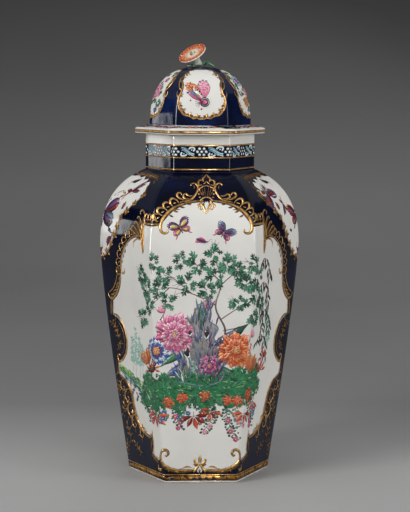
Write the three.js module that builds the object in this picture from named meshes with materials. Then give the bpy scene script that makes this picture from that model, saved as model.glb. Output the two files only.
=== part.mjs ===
// Hexagonal covered baluster vase (potiche) in press-moulded porcelain, with a lift-off domed cover and a
// modelled flower on top. Millimetres, +Z up. The origin is the centre of the foot, on the table, and a
// facet of the hexagon faces -Y. The radius of a hexagonal section is measured from its centre to a corner.
import * as THREE from "three";

// General sizes and clearances
const SIDES = 6;
const ARRIS_CHORDS = 2;
const ARRIS_ROUNDING = 2.6;
const SEAT_GAP = 0.3;

// Vase wall: a straight flank from the foot, a swelling belly and a full shoulder up to the neck
const FOOT_RADIUS = 66.8;
const FOOT_BEVEL = 0.8;
const FLANK_TOP_RADIUS = 77.1;
const FLANK_TOP_HEIGHT = 70;
const BELLY_RADIUS = 94.4;
const BELLY_HEIGHT = 220;
const FLANK_SWELL_LENGTH = 94;
const BELLY_LOWER_EASE = 12;
const BELLY_UPPER_EASE = 36.5;
const SHOULDER_EASE = 28;
const SHOULDER_SLOPE = 21.7;
const WALL_THICKNESS = 5;
const FLANK_STEPS = 3;
const BELLY_STEPS = 9;
const SHOULDER_STEPS = 14;

// Floor slab, set inside the wall above a recessed underside
const FLOOR_RECESS = 6;
const FLOOR_THICKNESS = 6;

// Upright neck collar, luted on the shoulder
const NECK_RADIUS = 51.5;
const NECK_ROOT_HEIGHT = 288.2;
const NECK_HEIGHT = 33.1;
const NECK_RIM_BEVEL = 1;

// Cover: sloping flange, locating lip below it and dome above it
const FLANGE_RADIUS = 61.6;
const FLANGE_EDGE_HEIGHT = 5;
const FLANGE_EDGE_BEVEL = 1.2;
const FLANGE_RISE = 3.6;
const LIP_CLEARANCE = 1.2;
const LIP_THICKNESS = 4;
const LIP_DEPTH = 12;
const LIP_BEVEL = 1;
const DOME_RADIUS = 47.9;
const DOME_HEIGHT = 53.4;
const DOME_SIDE_EASE = 44.8;
const DOME_CROWN_EASE = 23.4;
const DOME_THICKNESS = 4.2;
const DOME_STEPS = 18;

// Modelled flower: a clay pad, a bent stalk, a calyx and a shallow bloom that leans forward to one side
const FINIAL_SHIFT = -2.6;
const PAD_RADIUS = 6.4;
const PAD_HEIGHT = 1.2;
const PAD_EDGE = 0.6;
const STALK_FOOT_RADIUS = 4.6;
const STALK_WAIST_RADIUS = 3.2;
const STALK_STEPS = 10;
const STALK_EASE = 2.2;
const BLOOM_RADIUS = 13.8;
const BLOOM_HEART = 1.8;
const BLOOM_RIM = 1.7;
const BLOOM_DISH = 1.6;
const BLOOM_PETALS = 12;
const PETAL_NOTCH = 0.4;
const BLOOM_LEAN = 38.7;
const BLOOM_HEADING = 223.3;
const BLOOM_OFFSET = 6.8;
const BLOOM_CENTRE_HEIGHT = 11.6;
const CALYX_RADIUS = 6.8;
const CALYX_HEIGHT = 2.2;
const STAMEN_RADIUS = 0.8;
const STAMEN_LENGTH = 3.2;
const STAMEN_SPREAD = 2.3;
const ROUND_STEPS = 36;
const STALK_SIDES = 16;

// Modelled leaves round the stalk: heading, length, width, lift of the tip, fold across and arch along
const LEAF_THICKNESS = 1.1;
const LEAF_STEPS_LONG = 10;
const LEAF_STEPS_WIDE = 4;
const LEAF_TEETH = 4;
const LEAF_TOOTH = 0.5;
const LEAF_LIFT = 0.45;
const LEAF_TIP_SHARE = 0.06;
const LEAF_ARCH_EASE = 0.6;
const LEAVES = [
  { heading: 346, length: 9.1, width: 7, rise: 0.8, fold: 1.2, arch: 4.2 },
  { heading: 30, length: 9.4, width: 6.6, rise: 0.8, fold: 0.9, arch: 3.4 },
  { heading: 84, length: 8.6, width: 6.6, rise: 0.9, fold: 0.8, arch: 1.6 },
  { heading: 140, length: 7.4, width: 6.2, rise: 0.7, fold: 0.8, arch: 1.2 },
  { heading: 190, length: 3.8, width: 4.2, rise: 0.6, fold: 0.5, arch: 0.4 },
];

const SIDE_TURN = (2 * Math.PI) / SIDES;
const FACET_SHARE = Math.cos(SIDE_TURN / 2);

const cobaltGlaze = { color: 0x141c3c, roughness: 0.12, metalness: 0 };
const whiteGlaze = { color: 0xdcdad4, roughness: 0.12, metalness: 0 };
const biscuit = { color: 0xd8cfc0, roughness: 0.6, metalness: 0 };
const orangeEnamel = { color: 0xe0784a, roughness: 0.2, metalness: 0 };
const greenEnamel = { color: 0x4c7a55, roughness: 0.2, metalness: 0 };
const purpleEnamel = { color: 0x7a3048, roughness: 0.2, metalness: 0 };

function radians(degrees) {
  return THREE.MathUtils.degToRad(degrees);
}

function point(radius, height) {
  return new THREE.Vector2(radius, height);
}

// Spins a profile into a hexagonal solid with rounded arrises, then stands it upright
function pressedHexagon(profile) {
  const perSide = ARRIS_CHORDS + 1;
  const around = SIDES * perSide;
  const geometry = new THREE.LatheGeometry(profile, around);
  const position = geometry.attributes.position;
  for (let i = 0; i <= around; i += 1) {
    const step = i % around;
    const corner = (Math.floor(step / perSide) + 0.5) * SIDE_TURN;
    const turn = corner + ((step % perSide) / ARRIS_CHORDS - 0.5) * SIDE_TURN;
    profile.forEach((spot, j) => {
      const round = Math.min(ARRIS_ROUNDING, (spot.x * FACET_SHARE) / 2);
      const centre = spot.x - round / FACET_SHARE;
      const x = centre * Math.sin(corner) + round * Math.sin(turn);
      const z = centre * Math.cos(corner) + round * Math.cos(turn);
      position.setXYZ(i * profile.length + j, x, spot.y, z);
    });
  }
  return geometry.rotateX(Math.PI / 2);
}

// Moves a hexagonal profile inwards by a wall thickness measured square to its facets
function offsetInwards(profile, thickness) {
  return profile.map((spot, i) => {
    const before = profile[Math.max(i - 1, 0)];
    const after = profile[Math.min(i + 1, profile.length - 1)];
    const along = point((after.x - before.x) * FACET_SHARE, after.y - before.y).normalize();
    const facet = spot.x * FACET_SHARE - along.y * thickness;
    return point(facet / FACET_SHARE, spot.y + along.x * thickness);
  });
}

// Radius of a hexagonal profile at a height, read between its points
function radiusAt(profile, height) {
  const upper = profile.findIndex((spot) => spot.y >= height);
  const above = profile[Math.max(upper, 1)];
  const below = profile[Math.max(upper, 1) - 1];
  const share = (height - below.y) / (above.y - below.y);
  return below.x + (above.x - below.x) * share;
}

// A centre-to-corner radius that leaves the given thickness between two parallel facets
function inside(radius, thickness) {
  return radius - thickness / FACET_SHARE;
}

function mesh(name, geometry, finish) {
  const made = new THREE.Mesh(geometry, new THREE.MeshStandardMaterial(finish));
  made.name = name;
  return made;
}

// Outside of the vase from the foot to the neck root
function vaseOutline() {
  const flankWidening = (FLANK_TOP_RADIUS - FOOT_RADIUS) / FLANK_TOP_HEIGHT;
  const shoulder = radians(SHOULDER_SLOPE);
  const flank = new THREE.LineCurve(
    point(FOOT_RADIUS, FOOT_BEVEL),
    point(FLANK_TOP_RADIUS, FLANK_TOP_HEIGHT),
  );
  const belly = new THREE.CubicBezierCurve(
    point(FLANK_TOP_RADIUS, FLANK_TOP_HEIGHT),
    point(FLANK_TOP_RADIUS + flankWidening * FLANK_SWELL_LENGTH, FLANK_TOP_HEIGHT + FLANK_SWELL_LENGTH),
    point(BELLY_RADIUS, BELLY_HEIGHT - BELLY_LOWER_EASE),
    point(BELLY_RADIUS, BELLY_HEIGHT),
  );
  const top = new THREE.CubicBezierCurve(
    point(BELLY_RADIUS, BELLY_HEIGHT),
    point(BELLY_RADIUS, BELLY_HEIGHT + BELLY_UPPER_EASE),
    point(
      NECK_RADIUS + SHOULDER_EASE * Math.cos(shoulder),
      NECK_ROOT_HEIGHT - SHOULDER_EASE * Math.sin(shoulder),
    ),
    point(NECK_RADIUS, NECK_ROOT_HEIGHT),
  );
  return [
    ...flank.getPoints(FLANK_STEPS),
    ...belly.getPoints(BELLY_STEPS).slice(1),
    ...top.getPoints(SHOULDER_STEPS).slice(1),
  ];
}

// The hollow wall, open at the foot and at the neck root
function vaseWall(outline) {
  const bore = offsetInwards(outline, WALL_THICKNESS);
  const foot = point(FOOT_RADIUS - FOOT_BEVEL, 0);
  const profile = [
    foot,
    ...outline,
    point(inside(NECK_RADIUS, WALL_THICKNESS), NECK_ROOT_HEIGHT),
    ...bore.slice(1).reverse(),
    point(inside(FOOT_RADIUS, WALL_THICKNESS), 0),
    foot,
  ];
  return mesh("vase_wall", pressedHexagon(profile), cobaltGlaze);
}

// The slab that closes the bottom, held in the tapering wall
function vaseFloor(outline) {
  const top = FLOOR_RECESS + FLOOR_THICKNESS;
  const bore = (height) => inside(radiusAt(outline, height), WALL_THICKNESS) - SEAT_GAP;
  const profile = [
    point(0, FLOOR_RECESS),
    point(bore(FLOOR_RECESS), FLOOR_RECESS),
    point(bore(top), top),
    point(0, top),
  ];
  return mesh("vase_floor", pressedHexagon(profile), whiteGlaze);
}

// The upright collar on the shoulder
function neckCollar() {
  const rim = NECK_ROOT_HEIGHT + NECK_HEIGHT;
  const bore = inside(NECK_RADIUS, WALL_THICKNESS);
  const profile = [
    point(NECK_RADIUS, NECK_ROOT_HEIGHT),
    point(NECK_RADIUS, rim - NECK_RIM_BEVEL),
    point(NECK_RADIUS - NECK_RIM_BEVEL, rim),
    point(bore + NECK_RIM_BEVEL, rim),
    point(bore, rim - NECK_RIM_BEVEL),
    point(bore, NECK_ROOT_HEIGHT),
    point(NECK_RADIUS, NECK_ROOT_HEIGHT),
  ];
  return mesh("neck_collar", pressedHexagon(profile), cobaltGlaze);
}

// Heights of the cover's seats, stacked from the neck rim
const flangeBottom = NECK_ROOT_HEIGHT + NECK_HEIGHT + SEAT_GAP;
const flangeShelf = flangeBottom + FLANGE_EDGE_HEIGHT;
const domeSeat = flangeShelf + FLANGE_RISE;
const domeTop = domeSeat + DOME_HEIGHT;
const domeBore = inside(DOME_RADIUS, DOME_THICKNESS);

// The flat-bottomed brim that rests on the neck, with its top sloping up to the dome
function coverFlange() {
  const profile = [
    point(domeBore, flangeBottom),
    point(FLANGE_RADIUS - FLANGE_EDGE_BEVEL, flangeBottom),
    point(FLANGE_RADIUS, flangeBottom + FLANGE_EDGE_BEVEL),
    point(FLANGE_RADIUS, flangeShelf - FLANGE_EDGE_BEVEL),
    point(FLANGE_RADIUS - FLANGE_EDGE_BEVEL, flangeShelf),
    point(DOME_RADIUS, domeSeat),
    point(domeBore, domeSeat),
    point(domeBore, flangeBottom),
  ];
  return mesh("cover_flange", pressedHexagon(profile), whiteGlaze);
}

// The ring below the flange that keeps the cover centred in the neck
function locatingLip() {
  const outer = inside(NECK_RADIUS, WALL_THICKNESS) - LIP_CLEARANCE;
  const inner = inside(outer, LIP_THICKNESS);
  const bottom = flangeBottom - LIP_DEPTH;
  const profile = [
    point(inner, bottom),
    point(outer - LIP_BEVEL, bottom),
    point(outer, bottom + LIP_BEVEL),
    point(outer, flangeBottom),
    point(inner, flangeBottom),
    point(inner, bottom),
  ];
  return mesh("locating_lip", pressedHexagon(profile), biscuit);
}

// Outside of the dome from its seat to the crown
function domeOutline() {
  const curve = new THREE.CubicBezierCurve(
    point(DOME_RADIUS, domeSeat),
    point(DOME_RADIUS, domeSeat + DOME_SIDE_EASE),
    point(DOME_CROWN_EASE, domeTop),
    point(0, domeTop),
  );
  return curve.getPoints(DOME_STEPS);
}

// The hollow hexagonal dome
function coverDome() {
  const outline = domeOutline();
  const bore = offsetInwards(outline.slice(1, -1), DOME_THICKNESS);
  const profile = [
    point(0, domeTop - DOME_THICKNESS),
    ...bore.filter((spot) => spot.x > 0).reverse(),
    point(domeBore, domeSeat),
    ...outline,
  ];
  return mesh("cover_dome", pressedHexagon(profile), cobaltGlaze);
}

// A round solid turned about its own axis
function turned(name, profile, steps, finish) {
  return mesh(name, new THREE.LatheGeometry(profile, steps).rotateX(Math.PI / 2), finish);
}

// The clay pad on the crown that carries the stalk and the leaves
function finialPad() {
  const bottom = domeTop + SEAT_GAP;
  const top = bottom + PAD_HEIGHT;
  const profile = [
    point(0, bottom),
    point(PAD_RADIUS, bottom),
    point(PAD_RADIUS, top - PAD_EDGE),
    point(PAD_RADIUS - PAD_EDGE, top),
    point(0, top),
  ];
  const pad = turned("finial_pad", profile, ROUND_STEPS, greenEnamel);
  pad.position.x = FINIAL_SHIFT;
  return pad;
}

// Joins rings of points into one closed solid with flat ends
function loft(rings) {
  const count = rings[0].length;
  const vertices = rings.flat().flatMap((spot) => [spot.x, spot.y, spot.z]);
  const faces = [];
  for (let i = 0; i + 1 < rings.length; i += 1) {
    for (let j = 0; j < count; j += 1) {
      const next = (j + 1) % count;
      const [a, b] = [i * count + j, i * count + next];
      faces.push(a, b, a + count, b, b + count, a + count);
    }
  }
  const last = (rings.length - 1) * count;
  for (let j = 1; j + 1 < count; j += 1) {
    faces.push(0, j + 1, j);
    faces.push(last, last + j, last + j + 1);
  }
  const geometry = new THREE.BufferGeometry();
  geometry.setAttribute("position", new THREE.Float32BufferAttribute(vertices, 3));
  geometry.setIndex(faces);
  return geometry;
}

// Direction that the bloom faces, and the place of its heart
const padTop = domeTop + SEAT_GAP + PAD_HEIGHT;
const bloomHeading = radians(BLOOM_HEADING);
const bloomLean = radians(BLOOM_LEAN);
const bloomFacing = new THREE.Vector3(
  Math.sin(bloomLean) * Math.cos(bloomHeading),
  Math.sin(bloomLean) * Math.sin(bloomHeading),
  Math.cos(bloomLean),
);
const bloomCentre = new THREE.Vector3(
  FINIAL_SHIFT + BLOOM_OFFSET * Math.cos(bloomHeading),
  BLOOM_OFFSET * Math.sin(bloomHeading),
  domeTop + BLOOM_CENTRE_HEIGHT,
);

// The bent stalk, square to the pad at its foot and square to the calyx at its end
function finialStalk() {
  const foot = new THREE.Vector3(FINIAL_SHIFT, 0, padTop + SEAT_GAP);
  const reach = BLOOM_HEART + CALYX_HEIGHT + SEAT_GAP + SEAT_GAP;
  const end = bloomCentre.clone().addScaledVector(bloomFacing, -reach);
  const path = new THREE.CubicBezierCurve3(
    foot,
    foot.clone().add(new THREE.Vector3(0, 0, STALK_EASE)),
    end.clone().addScaledVector(bloomFacing, -STALK_EASE),
    end,
  );
  const rings = [];
  for (let i = 0; i <= STALK_STEPS; i += 1) {
    const share = i / STALK_STEPS;
    const centre = path.getPoint(share);
    const along = path.getTangent(share);
    const side = new THREE.Vector3(0, 1, 0).cross(along).normalize();
    const front = along.clone().cross(side);
    const taper = (1 - share) * (1 - share);
    const radius = STALK_WAIST_RADIUS + (STALK_FOOT_RADIUS - STALK_WAIST_RADIUS) * taper;
    const ring = [];
    for (let j = 0; j < STALK_SIDES; j += 1) {
      const turn = (2 * Math.PI * j) / STALK_SIDES;
      const spot = centre.clone();
      spot.addScaledVector(side, radius * Math.cos(turn));
      spot.addScaledVector(front, radius * Math.sin(turn));
      ring.push(spot);
    }
    rings.push(ring);
  }
  return mesh("finial_stalk", loft(rings), whiteGlaze);
}

// The cup of the flower, its petals' edge scalloped, facing along its own axis
function flowerBloom() {
  const profile = [
    point(0, -BLOOM_HEART),
    point(CALYX_RADIUS, -BLOOM_HEART),
    point(BLOOM_RADIUS, BLOOM_DISH - BLOOM_RIM),
    point(BLOOM_RADIUS, BLOOM_DISH),
    point(BLOOM_RADIUS / 2, BLOOM_DISH / 3),
    point(0, 0),
  ];
  const steps = BLOOM_PETALS * 4;
  const bloom = turned("flower_bloom", profile, steps, orangeEnamel);
  const position = bloom.geometry.attributes.position;
  for (let i = 0; i < position.count; i += 1) {
    const radius = Math.hypot(position.getX(i), position.getY(i));
    const turn = Math.atan2(position.getY(i), position.getX(i));
    const notch = Math.abs(Math.sin((turn * BLOOM_PETALS) / 2)) - 1;
    const share = radius > CALYX_RADIUS ? radius / BLOOM_RADIUS : 0;
    const scale = radius > 0 ? 1 + (notch * PETAL_NOTCH * share) / radius : 1;
    position.setXY(i, position.getX(i) * scale, position.getY(i) * scale);
  }
  return bloom;
}

// The small cone between the stalk and the bloom
function flowerCalyx() {
  const top = -BLOOM_HEART - SEAT_GAP;
  const profile = [
    point(0, top - CALYX_HEIGHT),
    point(STALK_WAIST_RADIUS, top - CALYX_HEIGHT),
    point(CALYX_RADIUS - PAD_EDGE, top),
    point(0, top),
  ];
  return turned("flower_calyx", profile, ROUND_STEPS, whiteGlaze);
}

// Three rolled clay stamens lying in the heart of the bloom
function stamens() {
  const finishes = [greenEnamel, greenEnamel, purpleEnamel];
  return finishes.map((finish, i) => {
    const geometry = new THREE.CapsuleGeometry(STAMEN_RADIUS, STAMEN_LENGTH - 2 * STAMEN_RADIUS, 3, 8);
    const stamen = mesh("stamen_" + (i + 1), geometry, finish);
    const turn = (2 * Math.PI * i) / finishes.length;
    const floor = (BLOOM_DISH * STAMEN_LENGTH) / BLOOM_RADIUS;
    stamen.position.set(STAMEN_SPREAD * Math.cos(turn), STAMEN_SPREAD * Math.sin(turn), 0);
    stamen.position.z = floor + STAMEN_RADIUS + SEAT_GAP;
    stamen.rotation.z = turn;
    return stamen;
  });
}

// Height of the dome's surface under a spot, read between the points of its outline
function domeHeightAt(spot, outline) {
  let facet = 0;
  for (let i = 0; i < SIDES; i += 1) {
    const turn = (i + 0.5) * SIDE_TURN;
    facet = Math.max(facet, spot.x * Math.cos(turn) + spot.y * Math.sin(turn));
  }
  const radius = facet / FACET_SHARE;
  const inner = Math.max(outline.findIndex((corner) => corner.x <= radius), 1);
  const [below, above] = [outline[inner - 1], outline[inner]];
  return above.y + ((below.y - above.y) * (radius - above.x)) / (below.x - above.x);
}

// A serrated leaf that springs from the pad, arches over the dome and lifts its tip
function leaf(sizes, index) {
  const outline = domeOutline();
  const heading = radians(sizes.heading);
  const outwards = new THREE.Vector3(Math.cos(heading), Math.sin(heading), 0);
  const sideways = new THREE.Vector3(-Math.sin(heading), Math.cos(heading), 0);
  const rings = [];
  for (let i = 0; i <= LEAF_STEPS_LONG; i += 1) {
    const share = i / LEAF_STEPS_LONG;
    const swell = Math.sin(Math.PI * (LEAF_TIP_SHARE + Math.pow(share, 0.8) * (1 - 2 * LEAF_TIP_SHARE)));
    const tooth = LEAF_TOOTH * (1 - ((share * LEAF_TEETH) % 1));
    const half = Math.max(sizes.width / 2 - tooth, LEAF_TOOTH) * swell;
    const arch = sizes.arch * Math.sin(Math.PI * Math.pow(share, LEAF_ARCH_EASE));
    const lower = [];
    for (let j = -LEAF_STEPS_WIDE; j <= LEAF_STEPS_WIDE; j += 1) {
      const across = j / LEAF_STEPS_WIDE;
      const spot = outwards.clone().multiplyScalar(PAD_RADIUS + SEAT_GAP + sizes.length * share);
      spot.addScaledVector(sideways, half * across);
      spot.setX(spot.x + FINIAL_SHIFT);
      const lift = LEAF_LIFT + sizes.rise * share * share + sizes.fold * across * across * swell;
      spot.setZ(domeHeightAt(spot, outline) + lift + arch);
      lower.push(spot);
    }
    const upper = lower.map((spot) => spot.clone().setZ(spot.z + LEAF_THICKNESS));
    rings.push([...lower, ...upper.reverse()]);
  }
  return mesh("leaf_" + (index + 1), loft(rings), greenEnamel);
}

// The flower, whose own axis is turned to the direction that it faces
function flower() {
  const group = new THREE.Group();
  group.add(flowerBloom(), flowerCalyx(), ...stamens());
  group.position.copy(bloomCentre);
  group.quaternion.setFromUnitVectors(new THREE.Vector3(0, 0, 1), bloomFacing);
  return group;
}

function vase() {
  const outline = vaseOutline();
  const group = new THREE.Group();
  group.add(vaseWall(outline), vaseFloor(outline), neckCollar());
  return group;
}

function cover() {
  const group = new THREE.Group();
  group.add(coverFlange(), locatingLip(), coverDome(), finialPad(), finialStalk(), flower());
  group.add(...LEAVES.map(leaf));
  return group;
}

const potiche = new THREE.Group();
potiche.add(vase(), cover());

export default potiche;
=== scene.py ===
"""Dresses the hexagonal covered vase: press-moulded porcelain, underglaze cobalt ground, white reserves,
honey gilding and overglaze enamels, with a modelled flower on the cover. All lengths here are millimetres
until a mesh is made."""
import math
import random

import bmesh
import bpy
import numpy as np
from mathutils import Matrix, Vector
from mathutils.geometry import delaunay_2d_cdt


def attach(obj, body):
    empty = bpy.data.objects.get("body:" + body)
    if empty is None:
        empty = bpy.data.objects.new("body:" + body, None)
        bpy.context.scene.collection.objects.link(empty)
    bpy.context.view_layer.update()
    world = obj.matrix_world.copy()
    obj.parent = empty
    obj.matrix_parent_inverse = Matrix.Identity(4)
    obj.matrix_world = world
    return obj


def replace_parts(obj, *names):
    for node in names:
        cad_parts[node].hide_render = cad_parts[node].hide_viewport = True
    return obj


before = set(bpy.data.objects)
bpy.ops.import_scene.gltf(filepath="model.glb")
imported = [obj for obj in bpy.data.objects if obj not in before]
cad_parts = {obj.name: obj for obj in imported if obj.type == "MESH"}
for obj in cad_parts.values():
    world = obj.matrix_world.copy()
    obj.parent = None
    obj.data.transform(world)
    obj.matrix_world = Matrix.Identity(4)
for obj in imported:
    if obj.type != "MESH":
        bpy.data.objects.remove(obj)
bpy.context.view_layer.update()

MM = 0.001
SIDES = 6
HALF_SIDE = math.pi / SIDES             # the angle that half a side spans
FACET = math.cos(HALF_SIDE)             # distance of a facet from the axis, per corner radius
ARRIS_ROUNDING = 2.6
ARRIS_REACH = ARRIS_ROUNDING * math.tan(HALF_SIDE)
FRONT, RIGHT, BACK, LEFT = 0.0, 1.5, 3.0, 4.5   # places round the hexagon, in side lengths from the front

# The solids' corner radii, heights and thicknesses
FOOT_RADIUS, FOOT_TOP = 66.8, 0.8
FLANK_RADIUS, FLANK_TOP = 77.1, 70
BELLY_RADIUS, BELLY = 94.4, 220
NECK_RADIUS, NECK_ROOT, NECK_RIM = 51.5, 288.2, 321.3
BRIM_RADIUS, BRIM_SEAT, BRIM_TOP = 61.6, 321.6, 326.6
DOME_RADIUS, DOME_SEAT, DOME_TOP = 47.9, 330.2, 383.6
WALL_THICKNESS, DOME_THICKNESS = 5, 4.2


# ---- Materials ----
def linear(hex_colour):
    """An sRGB hex value as linear RGBA."""
    out = []
    for start in (1, 3, 5):
        value = int(hex_colour[start:start + 2], 16) / 255
        out.append(value / 12.92 if value <= 0.04045 else ((value + 0.055) / 1.055) ** 2.4)
    return (*out, 1.0)


def add(tree, kind, inputs=None, **settings):
    """Adds a node with its settings, its values and its links."""
    node = tree.nodes.new(kind)
    for key, value in settings.items():
        setattr(node, key, value)
    for key, value in (inputs or {}).items():
        if isinstance(value, bpy.types.NodeSocket):
            tree.links.new(value, node.inputs[key])
        else:
            node.inputs[key].default_value = value
    return node


def noise(tree, size_mm, detail):
    """A noise whose features are about this many millimetres across."""
    place = add(tree, "ShaderNodeTexCoord").outputs["Object"]
    scale = 1 / (size_mm * MM)
    return add(tree, "ShaderNodeTexNoise", {"Vector": place, "Scale": scale, "Detail": detail}).outputs["Fac"]


def patchy(tree, size_mm, low, high, detail=3.0, start=0.35, end=0.65):
    """A noise of a real feature size, spread between two colours."""
    ramp = add(tree, "ShaderNodeValToRGB", {"Fac": noise(tree, size_mm, detail)})
    for stop, position, colour in zip(ramp.color_ramp.elements, (start, end), (low, high)):
        stop.position = position
        stop.color = colour
    return ramp.outputs["Color"]


def uneven(tree, size_mm, depth_mm, under=None):
    """A bump of a real feature size and depth, over another bump if one is given."""
    inputs = {"Height": noise(tree, size_mm, 2.0), "Strength": 1.0, "Distance": depth_mm * MM}
    if under is not None:
        inputs["Normal"] = under
    return add(tree, "ShaderNodeBump", inputs).outputs["Normal"]


def new_material(name):
    material = bpy.data.materials.new(name)
    material.use_nodes = True
    material.node_tree.nodes.clear()
    return material, material.node_tree


def shade(tree, inputs):
    shader = add(tree, "ShaderNodeBsdfPrincipled", inputs)
    add(tree, "ShaderNodeOutputMaterial", {"Surface": shader.outputs["BSDF"]})
    return shader


def cobalt_glaze(name, deep, rich):
    """Underglaze cobalt on porcelain: washed on in uneven brush loads, then fired under a clear thick glaze,
    so that the blue is nearly black where it pooled and richer where it ran thin, below one even gloss."""
    material, tree = new_material(name)
    wash = patchy(tree, 26, linear(deep), linear(rich), 5.0, 0.38, 0.72)
    grain = patchy(tree, 2.2, (0.75, 0.75, 0.8, 1), (1.2, 1.2, 1.25, 1), 2.0)
    colour = {"Factor": 1.0, 6: wash, 7: grain}
    colour = add(tree, "ShaderNodeMix", colour, data_type="RGBA", blend_type="MULTIPLY").outputs[2]
    ripple = uneven(tree, 7, 0.02, uneven(tree, 45, 0.35))
    shade(tree, {"Base Color": colour, "Specular IOR Level": 0.32, "Roughness": 0.08, "IOR": 1.42,
                 "Normal": ripple})
    return material


def white_glaze(name, shadow, light):
    """Soft-paste porcelain under a clear lead glaze: warm grey-white, a little cooler and darker where the
    glaze pooled, with a wide soft gloss."""
    material, tree = new_material(name)
    pooled = patchy(tree, 38, linear(shadow), linear(light), 3.0, 0.25, 0.6)
    ripple = uneven(tree, 8, 0.015, uneven(tree, 50, 0.3))
    shade(tree, {"Base Color": pooled, "Roughness": 0.13, "IOR": 1.5, "Normal": ripple})
    return material


def bare_body(name):
    """Unglazed fired porcelain where the piece stood in the kiln: matt, dry and slightly stained."""
    material, tree = new_material(name)
    stained = patchy(tree, 5, linear("#b3a58f"), linear("#d9cfbf"), 5.0, 0.3, 0.6)
    shade(tree, {"Base Color": stained, "Roughness": 0.75, "Normal": uneven(tree, 0.8, 0.05)})
    return material


def honey_gold(name, deep, bright, rim, worn=None):
    """Gold ground in honey, brushed thick on the glaze, fired and tooled: soft, low gloss, with rubbed spots
    if it is worn. Painted shade makes each stroke brown where it begins and at its edges, and a painted
    highlight brightens it from its middle on, so that it looks modelled in relief."""
    material, tree = new_material(name)
    tone = patchy(tree, 2.6, linear(deep), linear(bright), 4.0, 0.32, 0.6)
    along = add(tree, "ShaderNodeAttribute", attribute_name="tone").outputs["Fac"]
    # Painted shade and highlight: each stroke is darker where it begins and brighter from its middle on, as
    # if lit in relief
    painted_shade_and_highlight = add(tree, "ShaderNodeMapRange", {"Value": along, 2: 0.5, 3: 0.6, 4: 1.16})
    tone = {"Factor": 1.0, 6: tone, 7: painted_shade_and_highlight.outputs[0]}
    tone = add(tree, "ShaderNodeMix", tone, data_type="RGBA", blend_type="MULTIPLY").outputs[2]
    # Painted shade: each stroke darkens towards its edges, into the third colour
    side = add(tree, "ShaderNodeAttribute", attribute_name="edge").outputs["Fac"]
    border = add(tree, "ShaderNodeMapRange", {"Value": side, 1: 0.35, 2: 1.0, 4: 0.85})
    painted_edge_shade_and_wear = [(border, rim)]
    if worn is not None:
        rubbed = noise(tree, 6, 5.0)
        painted_edge_shade_and_wear.append((add(tree, "ShaderNodeMapRange", {"Value": rubbed, 1: 0.56, 2: 0.6}), worn))
    for mask, colour in painted_edge_shade_and_wear:
        tone = {"Factor": mask.outputs[0], 6: tone, 7: linear(colour)}
        tone = add(tree, "ShaderNodeMix", tone, data_type="RGBA").outputs[2]
    shade(tree, {"Base Color": tone, "Metallic": 0.6, "Roughness": 0.3, "Normal": uneven(tree, 1.2, 0.05)})
    return material


def enamel(name, root, tip, rim, rim_share=0.5, grain_mm=1.4):
    """Overglaze enamel: ground glass and metal oxide, painted in one stroke from a loaded brush, so that it
    is dense at its root and edges and thin at its tip; glossy, and a little proud of the glaze."""
    material, tree = new_material(name)
    along = add(tree, "ShaderNodeAttribute", attribute_name="tone").outputs["Fac"]
    side = add(tree, "ShaderNodeAttribute", attribute_name="edge").outputs["Fac"]
    body = {"Factor": along, 6: linear(root), 7: linear(tip)}
    body = add(tree, "ShaderNodeMix", body, data_type="RGBA").outputs[2]
    border = add(tree, "ShaderNodeMapRange", {"Value": side, 1: 1 - rim_share, 2: 1.0})
    body = {"Factor": border.outputs[0], 6: body, 7: linear(rim)}
    body = add(tree, "ShaderNodeMix", body, data_type="RGBA").outputs[2]
    grain = patchy(tree, grain_mm, (0.78, 0.78, 0.78, 1), (1.18, 1.18, 1.18, 1), 2.0)
    body = {"Factor": 1.0, 6: body, 7: grain}
    body = add(tree, "ShaderNodeMix", body, data_type="RGBA", blend_type="MULTIPLY").outputs[2]
    shade(tree, {"Base Color": body, "Roughness": 0.2, "IOR": 1.5})
    return material


COBALT = cobalt_glaze("underglaze_cobalt_ground", "#040717", "#09112c")
COBALT_COVER = cobalt_glaze("underglaze_cobalt_cover", "#050d27", "#0f1f49")
BORDER_GROUND = cobalt_glaze("underglaze_blue_black_border", "#080d1a", "#0f1930")
WHITE = white_glaze("glazed_soft_paste_porcelain", "#d3d1cc", "#dbd9d3")
BISCUIT = bare_body("unglazed_porcelain_foot")
# The golds' third colour is painted shade at a stroke's edges; the worn gold's fourth shows where it is
# rubbed
GOLD = honey_gold("honey_gilding", "#91632f", "#e0b26c", "#33200f")
GOLD_DARK = honey_gold("honey_gilding_thin", "#553616", "#9c7038", "#22140a")
GOLD_WORN = honey_gold("honey_gilding_worn", "#8a5a22", "#bf8b3e", "#5a3a16", "#120f14")
STALK = white_glaze("glazed_flower_stalk", "#a9b9a8", "#d2d6cb")
PAD = cobalt_glaze("glazed_clay_pad", "#3a4332", "#67705a")
STAMEN_GREEN = white_glaze("green_glazed_stamen", "#4f8a5e", "#8fb98e")
STAMEN_RED = white_glaze("red_glazed_stamen", "#9c3d26", "#c9694a")
CREAM = white_glaze("cream_glazed_bloom", "#dccdb4", "#eadfcd")
GREEN = enamel("copper_green_enamel", "#24603f", "#5f9f7d", "#123328", 0.5)
GREEN_SPRING = enamel("yellow_green_enamel", "#4d8f55", "#9fbf7a", "#2f6a45", 0.35)
GREEN_DARK = enamel("dark_copper_green_enamel", "#112f25", "#2a6149", "#0a1f18", 0.4)
GREEN_LAWN = enamel("bright_copper_green_enamel", "#175c37", "#308150", "#12402a", 0.25, 4)
GREEN_PALE = enamel("washed_turquoise_enamel", "#7db3a5", "#a9cdc2", "#86b8aa", 0.3)
RED_DARK = enamel("deep_iron_red_enamel", "#641611", "#94301d", "#4a100c", 0.3)
RED = enamel("iron_red_enamel", "#a83519", "#dd6b40", "#8a2a14", 0.3)
ORANGE = enamel("iron_red_orange_enamel", "#cb5426", "#eb9a67", "#a3391a", 0.3)
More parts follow.
